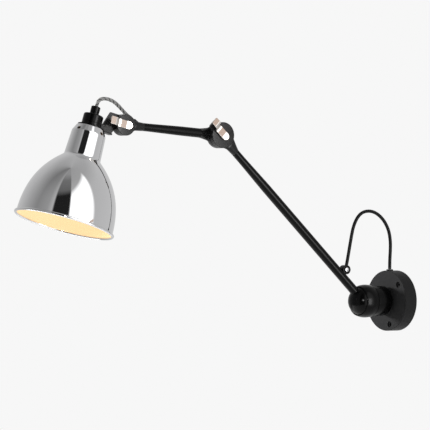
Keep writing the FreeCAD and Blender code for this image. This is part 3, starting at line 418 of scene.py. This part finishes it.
TOP, FOOT, MOUTH = -23.0, -23.0 - 51.0, -23.0 - 162.0
BOWL = (29.6, 129.5, -128.2, 61.6, -14.3)
SHEET = 1.0
VENT_COUNT, VENT_TURN, VENT_CIRCLE, VENT_DROP = 4, 18.6, 25.1, 8.2
VENT_WIDTH, VENT_LENGTH = 5.0, 6.6
BEAD_AT, BEAD_R, BEAD_STEPS = 78.96, 2.4, 20


def bowl(t):
    """Radius of the bowl, from the neck (0) to its straight edge (1)."""
    return BOWL[0] + t * (BOWL[1] + t * (BOWL[2] + t * (BOWL[3] + t * BOWL[4])))


def shade_line():
    """Outside of the spun sheet, from the holder's collar to the rolled edge."""
    line = [(13.6, TOP), (16.0, TOP), (19.0, TOP), (21.3, TOP)]
    line += [(21.9, TOP - 0.15), (22.4, TOP - 0.5), (22.75, TOP - 1.0)]
    line += [(22.9 + 4.3 * i / 14, TOP - 1.3 - 8.7 * i / 14) for i in range(15)]
    line += [(27.36, TOP - 10.5), (27.48, TOP - 11.2), (27.56, TOP - 12.0)]
    line += [(27.6 + 1.9 * i / 10, TOP - 13.0 - 35.5 * i / 10) for i in range(11)]
    line += [(29.75, FOOT + 0.8), (30.35, FOOT - 0.2)]
    for i in range(1, 45):
        t = i / 44
        line.append((max(bowl(t), 30.6), FOOT - 107.3 * t))
    return line


def vent_ring():
    """Oval holes on a circle round the shade's shoulder, cut through the sheet."""
    tree = bpy.data.node_groups.new("vent ring", "GeometryNodeTree")
    face = tree.interface
    face.new_socket("Sheet", in_out="INPUT", socket_type="NodeSocketGeometry")
    for name, kind in (("Count", "NodeSocketInt"), ("Circle", "NodeSocketFloat"),
                       ("Hole width", "NodeSocketFloat"), ("Hole length", "NodeSocketFloat"),
                       ("Height", "NodeSocketFloat"), ("Frame place", "NodeSocketVector"),
                       ("Frame turn", "NodeSocketVector"), ("Finish", "NodeSocketMaterial")):
        face.new_socket(name, in_out="INPUT", socket_type=kind)
    face.new_socket("Sheet", in_out="OUTPUT", socket_type="NodeSocketGeometry")
    nodes, links = tree.nodes, tree.links
    given, out = nodes.new("NodeGroupInput"), nodes.new("NodeGroupOutput")

    def join(*sockets):
        node = nodes.new("ShaderNodeCombineXYZ")
        for socket, value in zip(node.inputs, sockets):
            if isinstance(value, (int, float)):
                socket.default_value = value
            else:
                links.new(value, socket)
        return node.outputs[0]

    circle = nodes.new("GeometryNodeMeshCircle")
    links.new(given.outputs["Count"], circle.inputs["Vertices"])
    links.new(given.outputs["Circle"], circle.inputs["Radius"])
    raised = nodes.new("GeometryNodeTransform")
    links.new(circle.outputs["Mesh"], raised.inputs["Geometry"])
    links.new(join(0.0, 0.0, given.outputs["Height"]), raised.inputs["Translation"])
    raised.inputs["Rotation"].default_value = (0, 0, math.radians(VENT_TURN))
    punch = nodes.new("GeometryNodeMeshCylinder")
    punch.inputs["Vertices"].default_value = 28
    punch.inputs["Radius"].default_value = 0.5
    punch.inputs["Depth"].default_value = 0.012
    oval = nodes.new("GeometryNodeTransform")
    links.new(punch.outputs["Mesh"], oval.inputs["Geometry"])
    links.new(join(given.outputs["Hole width"], given.outputs["Hole length"], 1.0),
              oval.inputs["Scale"])
    facing = nodes.new("FunctionNodeAlignRotationToVector")
    facing.axis = "Z"
    spot = nodes.new("GeometryNodeInputPosition")
    flat = nodes.new("ShaderNodeVectorMath")
    flat.operation = "MULTIPLY"
    flat.inputs[1].default_value = (1, 1, 0)
    links.new(spot.outputs[0], flat.inputs[0])
    links.new(flat.outputs[0], facing.inputs["Vector"])
    upright = nodes.new("FunctionNodeAlignRotationToVector")
    upright.axis = "X"
    upright.pivot_axis = "Z"
    upright.inputs["Vector"].default_value = (0, 0, 1)
    links.new(facing.outputs["Rotation"], upright.inputs["Rotation"])
    punches = nodes.new("GeometryNodeInstanceOnPoints")
    links.new(raised.outputs["Geometry"], punches.inputs["Points"])
    links.new(oval.outputs["Geometry"], punches.inputs["Instance"])
    links.new(upright.outputs["Rotation"], punches.inputs["Rotation"])
    real = nodes.new("GeometryNodeRealizeInstances")
    links.new(punches.outputs["Instances"], real.inputs["Geometry"])
    placed = nodes.new("GeometryNodeTransform")
    links.new(real.outputs["Geometry"], placed.inputs["Geometry"])
    links.new(given.outputs["Frame place"], placed.inputs["Translation"])
    links.new(given.outputs["Frame turn"], placed.inputs["Rotation"])
    named = nodes.new("GeometryNodeSetMaterial")
    links.new(placed.outputs["Geometry"], named.inputs["Geometry"])
    links.new(given.outputs["Finish"], named.inputs["Material"])
    cut = nodes.new("GeometryNodeMeshBoolean")
    cut.operation = "DIFFERENCE"
    cut.solver = "EXACT"
    links.new(given.outputs["Sheet"], cut.inputs["Mesh 1"])
    links.new(named.outputs["Geometry"], cut.inputs["Mesh 2"])
    links.new(cut.outputs["Mesh"], out.inputs["Sheet"])
    return tree


def punch_vents(shade):
    """Cut the vents and keep the plain mesh that comes out."""
    tree = vent_ring()
    modifier = shade.modifiers.new("vents", "NODES")
    modifier.node_group = tree
    names = {item.name: item.identifier for item in tree.interface.items_tree
             if item.in_out == "INPUT"}
    for name, value in (("Count", VENT_COUNT), ("Circle", VENT_CIRCLE * MM),
                        ("Hole width", VENT_WIDTH * MM), ("Hole length", VENT_LENGTH * MM),
                        ("Height", (TOP - VENT_DROP) * MM),
                        ("Frame place", tuple(LAMP.to_translation())),
                        ("Frame turn", tuple(LAMP.to_euler())), ("Finish", mirror_chrome)):
        modifier[names[name]] = value
    bpy.context.view_layer.update()
    mesh = bpy.data.meshes.new_from_object(shade.evaluated_get(
        bpy.context.evaluated_depsgraph_get()))
    shade.modifiers.clear()
    shade.data = mesh


def make_shade():
    steps = 144
    bm = bmesh.new()
    rows = []
    for r, z in shade_line():
        rows.append([bm.verts.new((r * MM * math.cos(2 * math.pi * i / steps),
                                   r * MM * math.sin(2 * math.pi * i / steps), z * MM))
                     for i in range(steps)])
    for upper, lower in zip(rows, rows[1:]):
        for i in range(steps):
            j = (i + 1) % steps
            bm.faces.new((upper[i], lower[i], lower[j], upper[j]))
    bmesh.ops.transform(bm, matrix=LAMP, verts=bm.verts)
    for face in bm.faces:
        face.smooth = True
    shade = new_piece("spun_shade", bm, [mirror_chrome, cream_enamel_painted_glow])
    wall = shade.modifiers.new("wall", "SOLIDIFY")
    wall.thickness = SHEET * MM
    wall.offset = -1
    wall.use_even_offset = True
    wall.material_offset = 1
    wall.material_offset_rim = 0
    punch_vents(shade)
    return shade


shade = make_shade()
finish_piece(shade, "head", "lamp_shade", 50)

bead = []
for i in range(BEAD_STEPS):
    a = 2 * math.pi * i / BEAD_STEPS
    bead.append((BEAD_AT + BEAD_R * math.cos(a), MOUTH + BEAD_R + BEAD_R * math.sin(a)))
finish_piece(lathe("rolled_edge", mm(bead), LAMP, [mirror_chrome], steps=144),
             "head", None, 60)

# ------------------------------------------------------------ the lamp holder

cover_foot = -20.6
cover = lathe("holder_cover_moulded", mm(
    [(14.4, cover_foot), (15.6, cover_foot), (16.0, cover_foot + 0.5), (16.0, cover_foot + 4.6),
     (15.75, cover_foot + 4.9), (15.75, cover_foot + 5.3), (16.0, cover_foot + 5.6)]
    + bow((16.0, cover_foot + 16.2), (13.6, cover_foot + 18.6), 2.4, 8)
    + [(13.6, cover_foot + 18.6), (0.0, cover_foot + 18.6), (0.0, cover_foot + 17.0),
       (14.4, cover_foot + 16.0)]), LAMP, [moulded_black])
finish_piece(cover, "head", "holder_cover", 30)
skirt = lathe("holder_skirt", mm(eased(
    [(19.05, TOP + 0.05), (21.2, TOP + 0.05), (21.2, TOP + 2.2), (19.05, TOP + 2.4)], 0.5)),
    LAMP, [moulded_black])
finish_piece(skirt, "head", None, 30)
grip_foot = cover_foot + 18.6
grip = lathe("cord_grip_moulded", mm(
    [(0.0, grip_foot), (7.4, grip_foot), (7.4, grip_foot + 3.0), (7.1, grip_foot + 3.3),
     (7.1, grip_foot + 3.9), (7.4, grip_foot + 4.2), (7.4, grip_foot + 11.8)]
    + bow((7.4, grip_foot + 12.0), (5.8, grip_foot + 13.6), 1.6, 6)
    + [(5.8, grip_foot + 13.6), (0.0, grip_foot + 13.6)]), LAMP, [moulded_black], steps=64)
finish_piece(grip, "head", "cord_grip", 30)

# ---------------------------------------------------------- levers and glands


def rounded_bar(bm, place, stations, thick, edge):
    """Loft a strip through stations of (middle, along, width): points and
    directions in the plane z = 0 of its frame, with its width along z."""
    rows = []
    for (x, y), (u, v), width in stations:
        half, t = width / 2, thick / 2
        e = min(edge, 0.4 * width)
        corners = [(-t, -half + e), (-t + e, -half), (t - e, -half), (t, -half + e),
                   (t, half - e), (t - e, half), (-t + e, half), (-t, half - e)]
        rows.append([bm.verts.new(place @ (Vector((x - v * a, y + u * a, b)) * MM))
                     for a, b in corners])
    for one, two in zip(rows, rows[1:]):
        for k in range(8):
            j = (k + 1) % 8
            bm.faces.new((one[k], one[j], two[j], two[k]))
    bm.faces.new(list(reversed(rows[0])))
    bm.faces.new(rows[-1])


def clamp_lever(name, node, body, place, face, reach):
    """A pressed strip: round over its hub, then a step out and a lip to push."""
    half, thick, rise = 6.25, 2.2, 8.0
    back, tip, lip_drop, least = 2.6, 1.5, 3.0, 1.2
    hub_bore, hub_r = 3.1, 5.9
    low = face + 4.0 - thick / 2
    bend, flat = 0.46 * reach, 0.72 * reach
    path = []
    for i in range(13):
        a = math.pi / 2 * i / 12
        path.append((-back - half * math.cos(a), max(2 * half * math.sin(a), least)))
    for i in range(1, 19):
        path.append((-back + (bend + back) * i / 18, 2 * half))
    for i in range(1, 13):
        path.append((bend + (flat - bend) * i / 12, 2 * half))
    for i in range(1, 5):
        path.append((flat + (reach - tip - flat) * i / 4, 2 * half))
    for i in range(1, 6):
        a = math.pi / 2 * i / 5
        path.append((reach - tip + tip * math.sin(a),
                     2 * half - lip_drop * (1 - math.cos(a))))

    def height(x):
        q = min(max((x - bend) / (flat - bend), 0.0), 1.0)
        # a pressed strip is never quite flat: both ends of the flat lift a little
        crown = max(1.0 - x, 0.0) - max(min(x, bend) - 0.8 * bend, 0.0)
        return low + rise * q * q * (3 - 2 * q) + 0.085 * crown

    stations = []
    for x, width in path:
        slope = (height(x + 0.05) - height(x - 0.05)) / 0.1
        along = Vector((1, slope)).normalized()
        stations.append(((x, height(x)), (along.x, along.y), width))
    bm = bmesh.new()
    rounded_bar(bm, place, stations, thick, 0.5)
    bmesh.ops.recalc_face_normals(bm, faces=bm.faces)
    strip = new_piece(name, bm, [nickel])
    finish_piece(strip, body, node, 40)
    hub = lathe(name + "_hub", mm(eased(
        [(hub_bore, face), (hub_r, face), (hub_r, low - 0.2), (hub_bore, low - 0.2)], 0.3)),
        place @ turn("X", -90), [nickel], steps=48)
    finish_piece(hub, body, None)


clamp_lever("elbow_lever_pressed", "elbow_lever", "elbow_clamp", ELBOW_LEVER, 9.7, 34.0)
clamp_lever("head_lever_pressed", "head_lever", "head_clamp", HEAD_LEVER, 8.7, 35.5)

rim_bush = lathe("rim_bush", mm(eased([(2.8, 49.2), (5.6, 49.2), (5.6, 52.0), (2.8, 52.0)], 0.8)),
                 Matrix.Translation((0, -15.6 * MM, 0)), [moulded_black], steps=48)
finish_piece(rim_bush, "base", "base_gland")

CLAMP_PLACE = LOWER @ Matrix.Translation((62.5 * MM, 0, 12.2 * MM)) @ turn("X", -90)
saddle = lathe("cord_clamp_body", mm(eased([(0.0, -6.2), (7.6, -6.2), (7.6, 6.2), (4.6, 6.2),
                                            (4.6, 5.2), (0.0, 5.2)], 1.0)),
               CLAMP_PLACE, [moulded_black], steps=56)
finish_piece(saddle, "lower_arm", "arm_cord_gland")
clamp_screw = lathe("cord_clamp_screw", mm(eased([(0.0, 5.1), (3.4, 5.1), (3.4, 6.9), (1.5, 7.2),
                                                 (1.2, 6.3), (0.0, 6.3)], 0.3)),
                    CLAMP_PLACE, [plain_steel], steps=40)
finish_piece(clamp_screw, "lower_arm", None)

# ---------------------------------------------------- smoothed modelled pieces

finishes = {"satin_black": satin_black, "black_plastic": moulded_black, "nickel": nickel,
            "steel": plain_steel, "chrome": mirror_chrome, "ceramic": ceramic,
            "opal_glass": opal_glass, "black_cord": cord_sheath, "woven_cord": woven}
slots = {s["node"]: s["material_slot"] for s in frame["record"]["subparts"]}
body_of = {n: b for b, members in frame["record"]["behaviour"]["bodies"].items() for n in members}
made_otherwise = {"socket_barrel", "socket_ring", "pivot_ball", "lower_arm_tube",
                  "upper_arm_tube", "lamp_shade", "holder_cover", "cord_grip",
                  "elbow_lever", "head_lever", "base_gland", "arm_cord_gland",
                  "wall_cord", "head_cord"}
castings = {"elbow_near_half", "elbow_far_half", "head_near_half", "head_bracket"}
for node in sorted(nodes):
    if node not in made_otherwise:
        finish = cast_black_painted_light if node in castings else finishes[slots[node]]
        finish = base_black_painted_light if node == "wall_base" else finish
        smoothed_copy(node, body_of[node], finish)

# ------------------------------------------------------------------ the cords

WALL_CORD = [
    (0.0, -15.6, 52.25), (0.0, -15.6, 65.0), (0.0, -14.3, 81.0), (0.0, -13.9, 98.0),
    (-0.1, -17.0, 115.0), (-0.4, -24.8, 129.2), (-0.9, -35.6, 140.2), (-1.5, -49.0, 147.4),
    (-2.1, -63.0, 149.0), (-2.6, -76.2, 145.4), (-2.9, -86.0, 135.6), (-3.2, -92.8, 122.0),
    (-3.3, -96.6, 107.0), (-3.5, -99.8, 92.0), (-3.7, -103.0, 76.6), (-3.418, -106.521, 62.158),
    (-3.72, -109.396, 50.564)]
HEAD_CORD = [
    (50.769, 0.0, 28.4), (48.586, 0.0, 35.24), (43.2, -0.9, 40.05), (35.4, -2.2, 41.7),
    (24.5, -4.4, 40.6), (13.7, -6.8, 36.9), (4.5, -9.1, 31.0), (-3.7, -11.0, 24.6),
    (-11.0, -12.2, 18.4), (-17.937, -11.134, 12.884), (-22.446, -7.263, 7.558)]


def cord_line(points, matrix=Matrix.Identity(4)):
    """The smooth line of a cord through its route."""
    curve = bpy.data.curves.new("route", "CURVE")
    curve.dimensions = "3D"
    curve.resolution_u = 12
    spline = curve.splines.new("NURBS")
    spline.points.add(len(points) - 1)
    for point, spot in zip(spline.points, points):
        point.co = (*(matrix @ (Vector(spot) * MM)), 1)
    spline.order_u = 3
    spline.use_endpoint_u = True
    holder = bpy.data.objects.new("route", curve)
    bpy.context.scene.collection.objects.link(holder)
    bpy.context.view_layer.update()
    mesh = bpy.data.meshes.new_from_object(holder.evaluated_get(
        bpy.context.evaluated_depsgraph_get()))
    line = [v.co.copy() for v in mesh.vertices]
    bpy.data.objects.remove(holder)
    bpy.data.meshes.remove(mesh)
    return line


def cord_rings(line, radius, sides):
    """A ring of points square to the line at each of its points, untwisted."""
    rings, up = [], None
    for i, spot in enumerate(line):
        along = (line[min(i + 1, len(line) - 1)] - line[max(i - 1, 0)]).normalized()
        if up is None:
            up = along.orthogonal().normalized()
        up = (up - along * up.dot(along)).normalized()
        over = along.cross(up)
        rings.append([spot + (up * math.cos(2 * math.pi * k / sides)
                              + over * math.sin(2 * math.pi * k / sides)) * radius
                      for k in range(sides)])
    return rings


def cord_piece(name, line, rings, first, last, mat, diameter):
    """One stretch of a cord as a closed tube with its own yarn coordinates."""
    sides = len(rings[0])
    bm = bmesh.new()
    uv = bm.loops.layers.uv.new("yarn")
    rows = [[bm.verts.new(p) for p in rings[i]] for i in range(first, last + 1)]
    travel = [0.0]
    for i in range(1, len(line)):
        travel.append(travel[-1] + (line[i] - line[i - 1]).length)
    girth = math.pi * diameter
    for row, (lower, upper) in enumerate(zip(rows, rows[1:])):
        for k in range(sides):
            j = (k + 1) % sides
            face = bm.faces.new((lower[k], lower[j], upper[j], upper[k]))
            spots = ((k, row), (k + 1, row), (k + 1, row + 1), (k, row + 1))
            for loop, (u, v) in zip(face.loops, spots):
                loop[uv].uv = (u / sides, travel[first + v] / girth)
    bm.faces.new(list(reversed(rows[0])))
    bm.faces.new(rows[-1])
    bmesh.ops.recalc_face_normals(bm, faces=bm.faces)
    obj = new_piece(name, bm, [mat])
    obj.data.shade_smooth()
    obj.data.set_sharp_from_angle(angle=math.radians(50))
    return obj, travel[last] - travel[first]


line = cord_line(WALL_CORD)
rings = cord_rings(line, 2.75 * MM, 20)
cuts = [0, round(len(line) * 0.36), round(len(line) * 0.66), len(line) - 1]
for name, (first, last), (a, b) in zip(
        ("cord_rising", "cord_arch", "cord_falling"), zip(cuts, cuts[1:]),
        (("base", "barrel"), ("barrel", "ball"), ("ball", "lower_arm"))):
    piece, length = cord_piece(name, line, rings, first, last, cord_sheath, 5.5 * MM)
    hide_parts("wall_cord")
    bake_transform(piece)

line = cord_line(HEAD_CORD, HEAD_ORIGIN)
rings = cord_rings(line, 2.9 * MM, 24)
piece, length = cord_piece("lamp_cord", line, rings, 0, len(line) - 1, woven, 5.8 * MM)
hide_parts("head_cord")
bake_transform(piece)

# ---------------------------------------------------------- stage and lighting


PALE = (0.93, 0.93, 0.93, 1)
FLOOR_AT = -0.98


def pale_ground():
    """A pale ground, shown to the camera as the backdrop is."""
    mat = bpy.data.materials.new("pale floor")
    mat.use_nodes = True
    nodes, links = mat.node_tree.nodes, mat.node_tree.links
    bsdf = nodes["Principled BSDF"]
    bsdf.inputs["Base Color"].default_value = PALE
    bsdf.inputs["Roughness"].default_value = 0.9
    shown = nodes.new("ShaderNodeEmission")
    shown.inputs["Color"].default_value = PALE
    rays = nodes.new("ShaderNodeLightPath")
    mix = nodes.new("ShaderNodeMixShader")
    links.new(rays.outputs["Is Camera Ray"], mix.inputs["Fac"])
    links.new(bsdf.outputs[0], mix.inputs[1])
    links.new(shown.outputs[0], mix.inputs[2])
    links.new(mix.outputs[0], nodes["Material Output"].inputs["Surface"])
    return mat


floor_mesh = bpy.data.meshes.new("floor")
floor_mesh.from_pydata([(-1.6, -1.6, FLOOR_AT), (1.6, -1.6, FLOOR_AT),
                        (1.6, 1.4, FLOOR_AT), (-1.6, 1.4, FLOOR_AT)], [], [(0, 1, 2, 3)])
floor = bpy.data.objects.new("floor", floor_mesh)
bpy.context.scene.collection.objects.link(floor)
floor_mesh.materials.append(pale_ground())

VIEW_TURN_DEGREES = 49.6


def studio_world():
    """A pale backdrop for the camera, an even light for dull surfaces, and for
    gloss a made-up room, guessed from what the photo's chrome mirrors: grey walls,
    a dark doorway and beside it a tall white window, by compass direction and
    height.  With the lamps below, a matt card that faces the camera renders at
    about 0.55 of its written colour."""
    world = bpy.data.worlds.new("studio")
    bpy.context.scene.world = world
    world.use_nodes = True
    tree = world.node_tree
    nodes, links = tree.nodes, tree.links

    maths = maths_in(tree)

    def ramp(value, stops, easing="LINEAR"):
        node = nodes.new("ShaderNodeValToRGB")
        node.color_ramp.interpolation = easing
        while len(node.color_ramp.elements) < len(stops):
            node.color_ramp.elements.new(0.5)
        for element, (at, grey) in zip(node.color_ramp.elements, stops):
            element.position = at
            element.color = (grey, grey, grey, 1)
        links.new(value, node.inputs["Fac"])
        return node.outputs["Color"]

    coords = nodes.new("ShaderNodeTexCoord")
    spin = nodes.new("ShaderNodeMapping")
    spin.inputs["Rotation"].default_value = (0, 0, math.radians(90 - VIEW_TURN_DEGREES))
    links.new(coords.outputs["Generated"], spin.inputs["Vector"])
    split = nodes.new("ShaderNodeSeparateXYZ")
    links.new(spin.outputs["Vector"], split.inputs["Vector"])
    # 0 behind the lamp, going round by the left to 0.5 in front and on by the right
    compass = maths("ADD", maths("DIVIDE", maths(
        "ARCTAN2", split.outputs["Y"], split.outputs["X"]), 2 * math.pi), 0.5)
    height = maths("ADD", maths("MULTIPLY", maths("ARCSINE", split.outputs["Z"]), 1 / math.pi), 0.5)

    def share(degrees):
        return 0.5 + degrees / 360

    walls = ramp(compass, [(0.0, 0.66), (share(-130), 0.54), (share(-75), 0.28),
                           (share(-42), 0.36), (share(-29), 0.52), (share(80), 0.56),
                           (share(130), 0.60), (1.0, 0.66)])
    ceiling = ramp(height, [(0.5, 1.0), (0.72, 0.95), (0.85, 0.75), (1.0, 0.70)])
    door = ramp(compass, [(share(-29), 0.0), (share(-25), 1.0), (share(13), 1.0), (share(15), 0.0)])
    door_top = ramp(height, [(0.73, 1.0), (0.77, 0.72), (0.86, 0.55), (0.93, 0.15)])
    window = ramp(compass, [(share(14), 0.0), (share(17), 1.0), (share(68), 1.0), (share(76), 0.0)])
    slope = maths("MULTIPLY", maths("SUBTRACT", compass, share(60)), -0.8)
    window_top = ramp(maths("ADD", height, slope),
                      [(0.30, 0.0), (0.34, 1.0), (0.80, 1.0), (0.86, 0.0)])
    room = maths("MULTIPLY", walls, ceiling)
    dark = maths("MULTIPLY", door, door_top)
    room = maths("MULTIPLY", room, maths("SUBTRACT", 1.0, maths("MULTIPLY", dark, 0.97)))
    room = maths("ADD", room, maths("MULTIPLY", maths("MULTIPLY", window, window_top), 1.1))
    # a warm wooden ledge at the window's right end, a little above the lamp's height
    ledge = maths("MULTIPLY",
                  ramp(compass, [(share(63.5), 0.0), (share(65.5), 1.0), (share(73), 1.0),
                                 (share(75), 0.0)]),
                  ramp(height, [(0.5022, 0.0), (0.5032, 1.0), (0.513, 1.0), (0.516, 0.0)]))
    tint = nodes.new("ShaderNodeMix")
    tint.data_type = "RGBA"
    tint.inputs["B"].default_value = (0.60, 0.455, 0.38, 1)
    links.new(ledge, tint.inputs["Factor"])
    links.new(room, tint.inputs["A"])

    even = nodes["Background"]
    even.inputs["Color"].default_value = (1, 1, 1, 1)
    even.inputs["Strength"].default_value = 0.45
    mirrored = nodes.new("ShaderNodeBackground")
    links.new(tint.outputs["Result"], mirrored.inputs["Color"])
    backdrop = nodes.new("ShaderNodeBackground")
    backdrop.inputs["Color"].default_value = PALE
    rays = nodes.new("ShaderNodeLightPath")
    gloss = nodes.new("ShaderNodeMixShader")
    links.new(rays.outputs["Is Glossy Ray"], gloss.inputs["Fac"])
    links.new(even.outputs[0], gloss.inputs[1])
    links.new(mirrored.outputs[0], gloss.inputs[2])
    seen = nodes.new("ShaderNodeMixShader")
    links.new(maths("MAXIMUM", rays.outputs["Is Camera Ray"], rays.outputs["Is Transmission Ray"]),
              seen.inputs["Fac"])
    links.new(gloss.outputs[0], seen.inputs[1])
    links.new(backdrop.outputs[0], seen.inputs[2])
    links.new(seen.outputs[0], nodes["World Output"].inputs["Surface"])


studio_world()
VIEW_TURN = math.radians(VIEW_TURN_DEGREES)
towards_camera = Vector((math.sin(VIEW_TURN), -math.cos(VIEW_TURN), 0))
to_the_right = Vector((math.cos(VIEW_TURN), math.sin(VIEW_TURN), 0))
centre = Vector((0, -0.150, 0.150))


def lamp(name, right, towards, up, size, power, tall=None):
    """A soft box, placed as seen from the camera and aimed at the lamp.  Gloss
    doesn't see it."""
    light = bpy.data.lights.new(name, "AREA")
    light.shape = "RECTANGLE"
    light.size = size
    light.size_y = tall or size
    light.energy = power
    obj = bpy.data.objects.new(name, light)
    bpy.context.scene.collection.objects.link(obj)
    spot = centre + to_the_right * right + towards_camera * towards + Vector((0, 0, up))
    obj.location = spot
    aim = centre + to_the_right * -0.2 - spot
    obj.rotation_euler = aim.to_track_quat("-Z", "Y").to_euler()
    obj.visible_glossy = False
    return obj


lamp("key box", -2.9, -0.45, 0.45, 0.6, 140)
lamp("side box", 2.0, 1.2, 0.9, 0.7, 4, 1.2)
lamp("top box", -0.2, -0.4, 2.4, 1.2, 6)


GLEAM_AWAY = 9


def gleam(name, degrees, rise, size, tall, power):
    """A light that only gloss shows, by its bearing from the camera's."""
    a, b = math.radians(degrees), math.radians(rise)
    obj = lamp(name, GLEAM_AWAY * math.sin(a) * math.cos(b),
               GLEAM_AWAY * math.cos(a) * math.cos(b), GLEAM_AWAY * math.sin(b), size, power, tall)
    obj.visible_glossy = True
    obj.visible_diffuse = False


gleam("window gleam", 49, -3, 3.0, 6.2, 400)
gleam("door gleam", 2, 7, 0.9, 0.9, 150)

SENSOR, FOCAL_PIXELS, PICTURE_PIXELS = 36, 4026, 430
CAMERA_AWAY, PIXELS_PER_METRE = 6.6, 610
camera_data = bpy.data.cameras.new("camera")
camera_data.sensor_width = SENSOR
camera_data.lens = SENSOR * FOCAL_PIXELS / PICTURE_PIXELS
camera_data.clip_end = 50
camera = bpy.data.objects.new("camera", camera_data)
bpy.context.scene.collection.objects.link(camera)
bpy.context.scene.camera = camera
camera.location = centre + towards_camera * CAMERA_AWAY
aim = (centre - to_the_right * (113 / PIXELS_PER_METRE)
       - Vector((0, 0, 4.8 / PIXELS_PER_METRE)))
camera.rotation_euler = (aim - camera.location).to_track_quat("-Z", "Y").to_euler()

bpy.context.scene.view_settings.view_transform = "Standard"
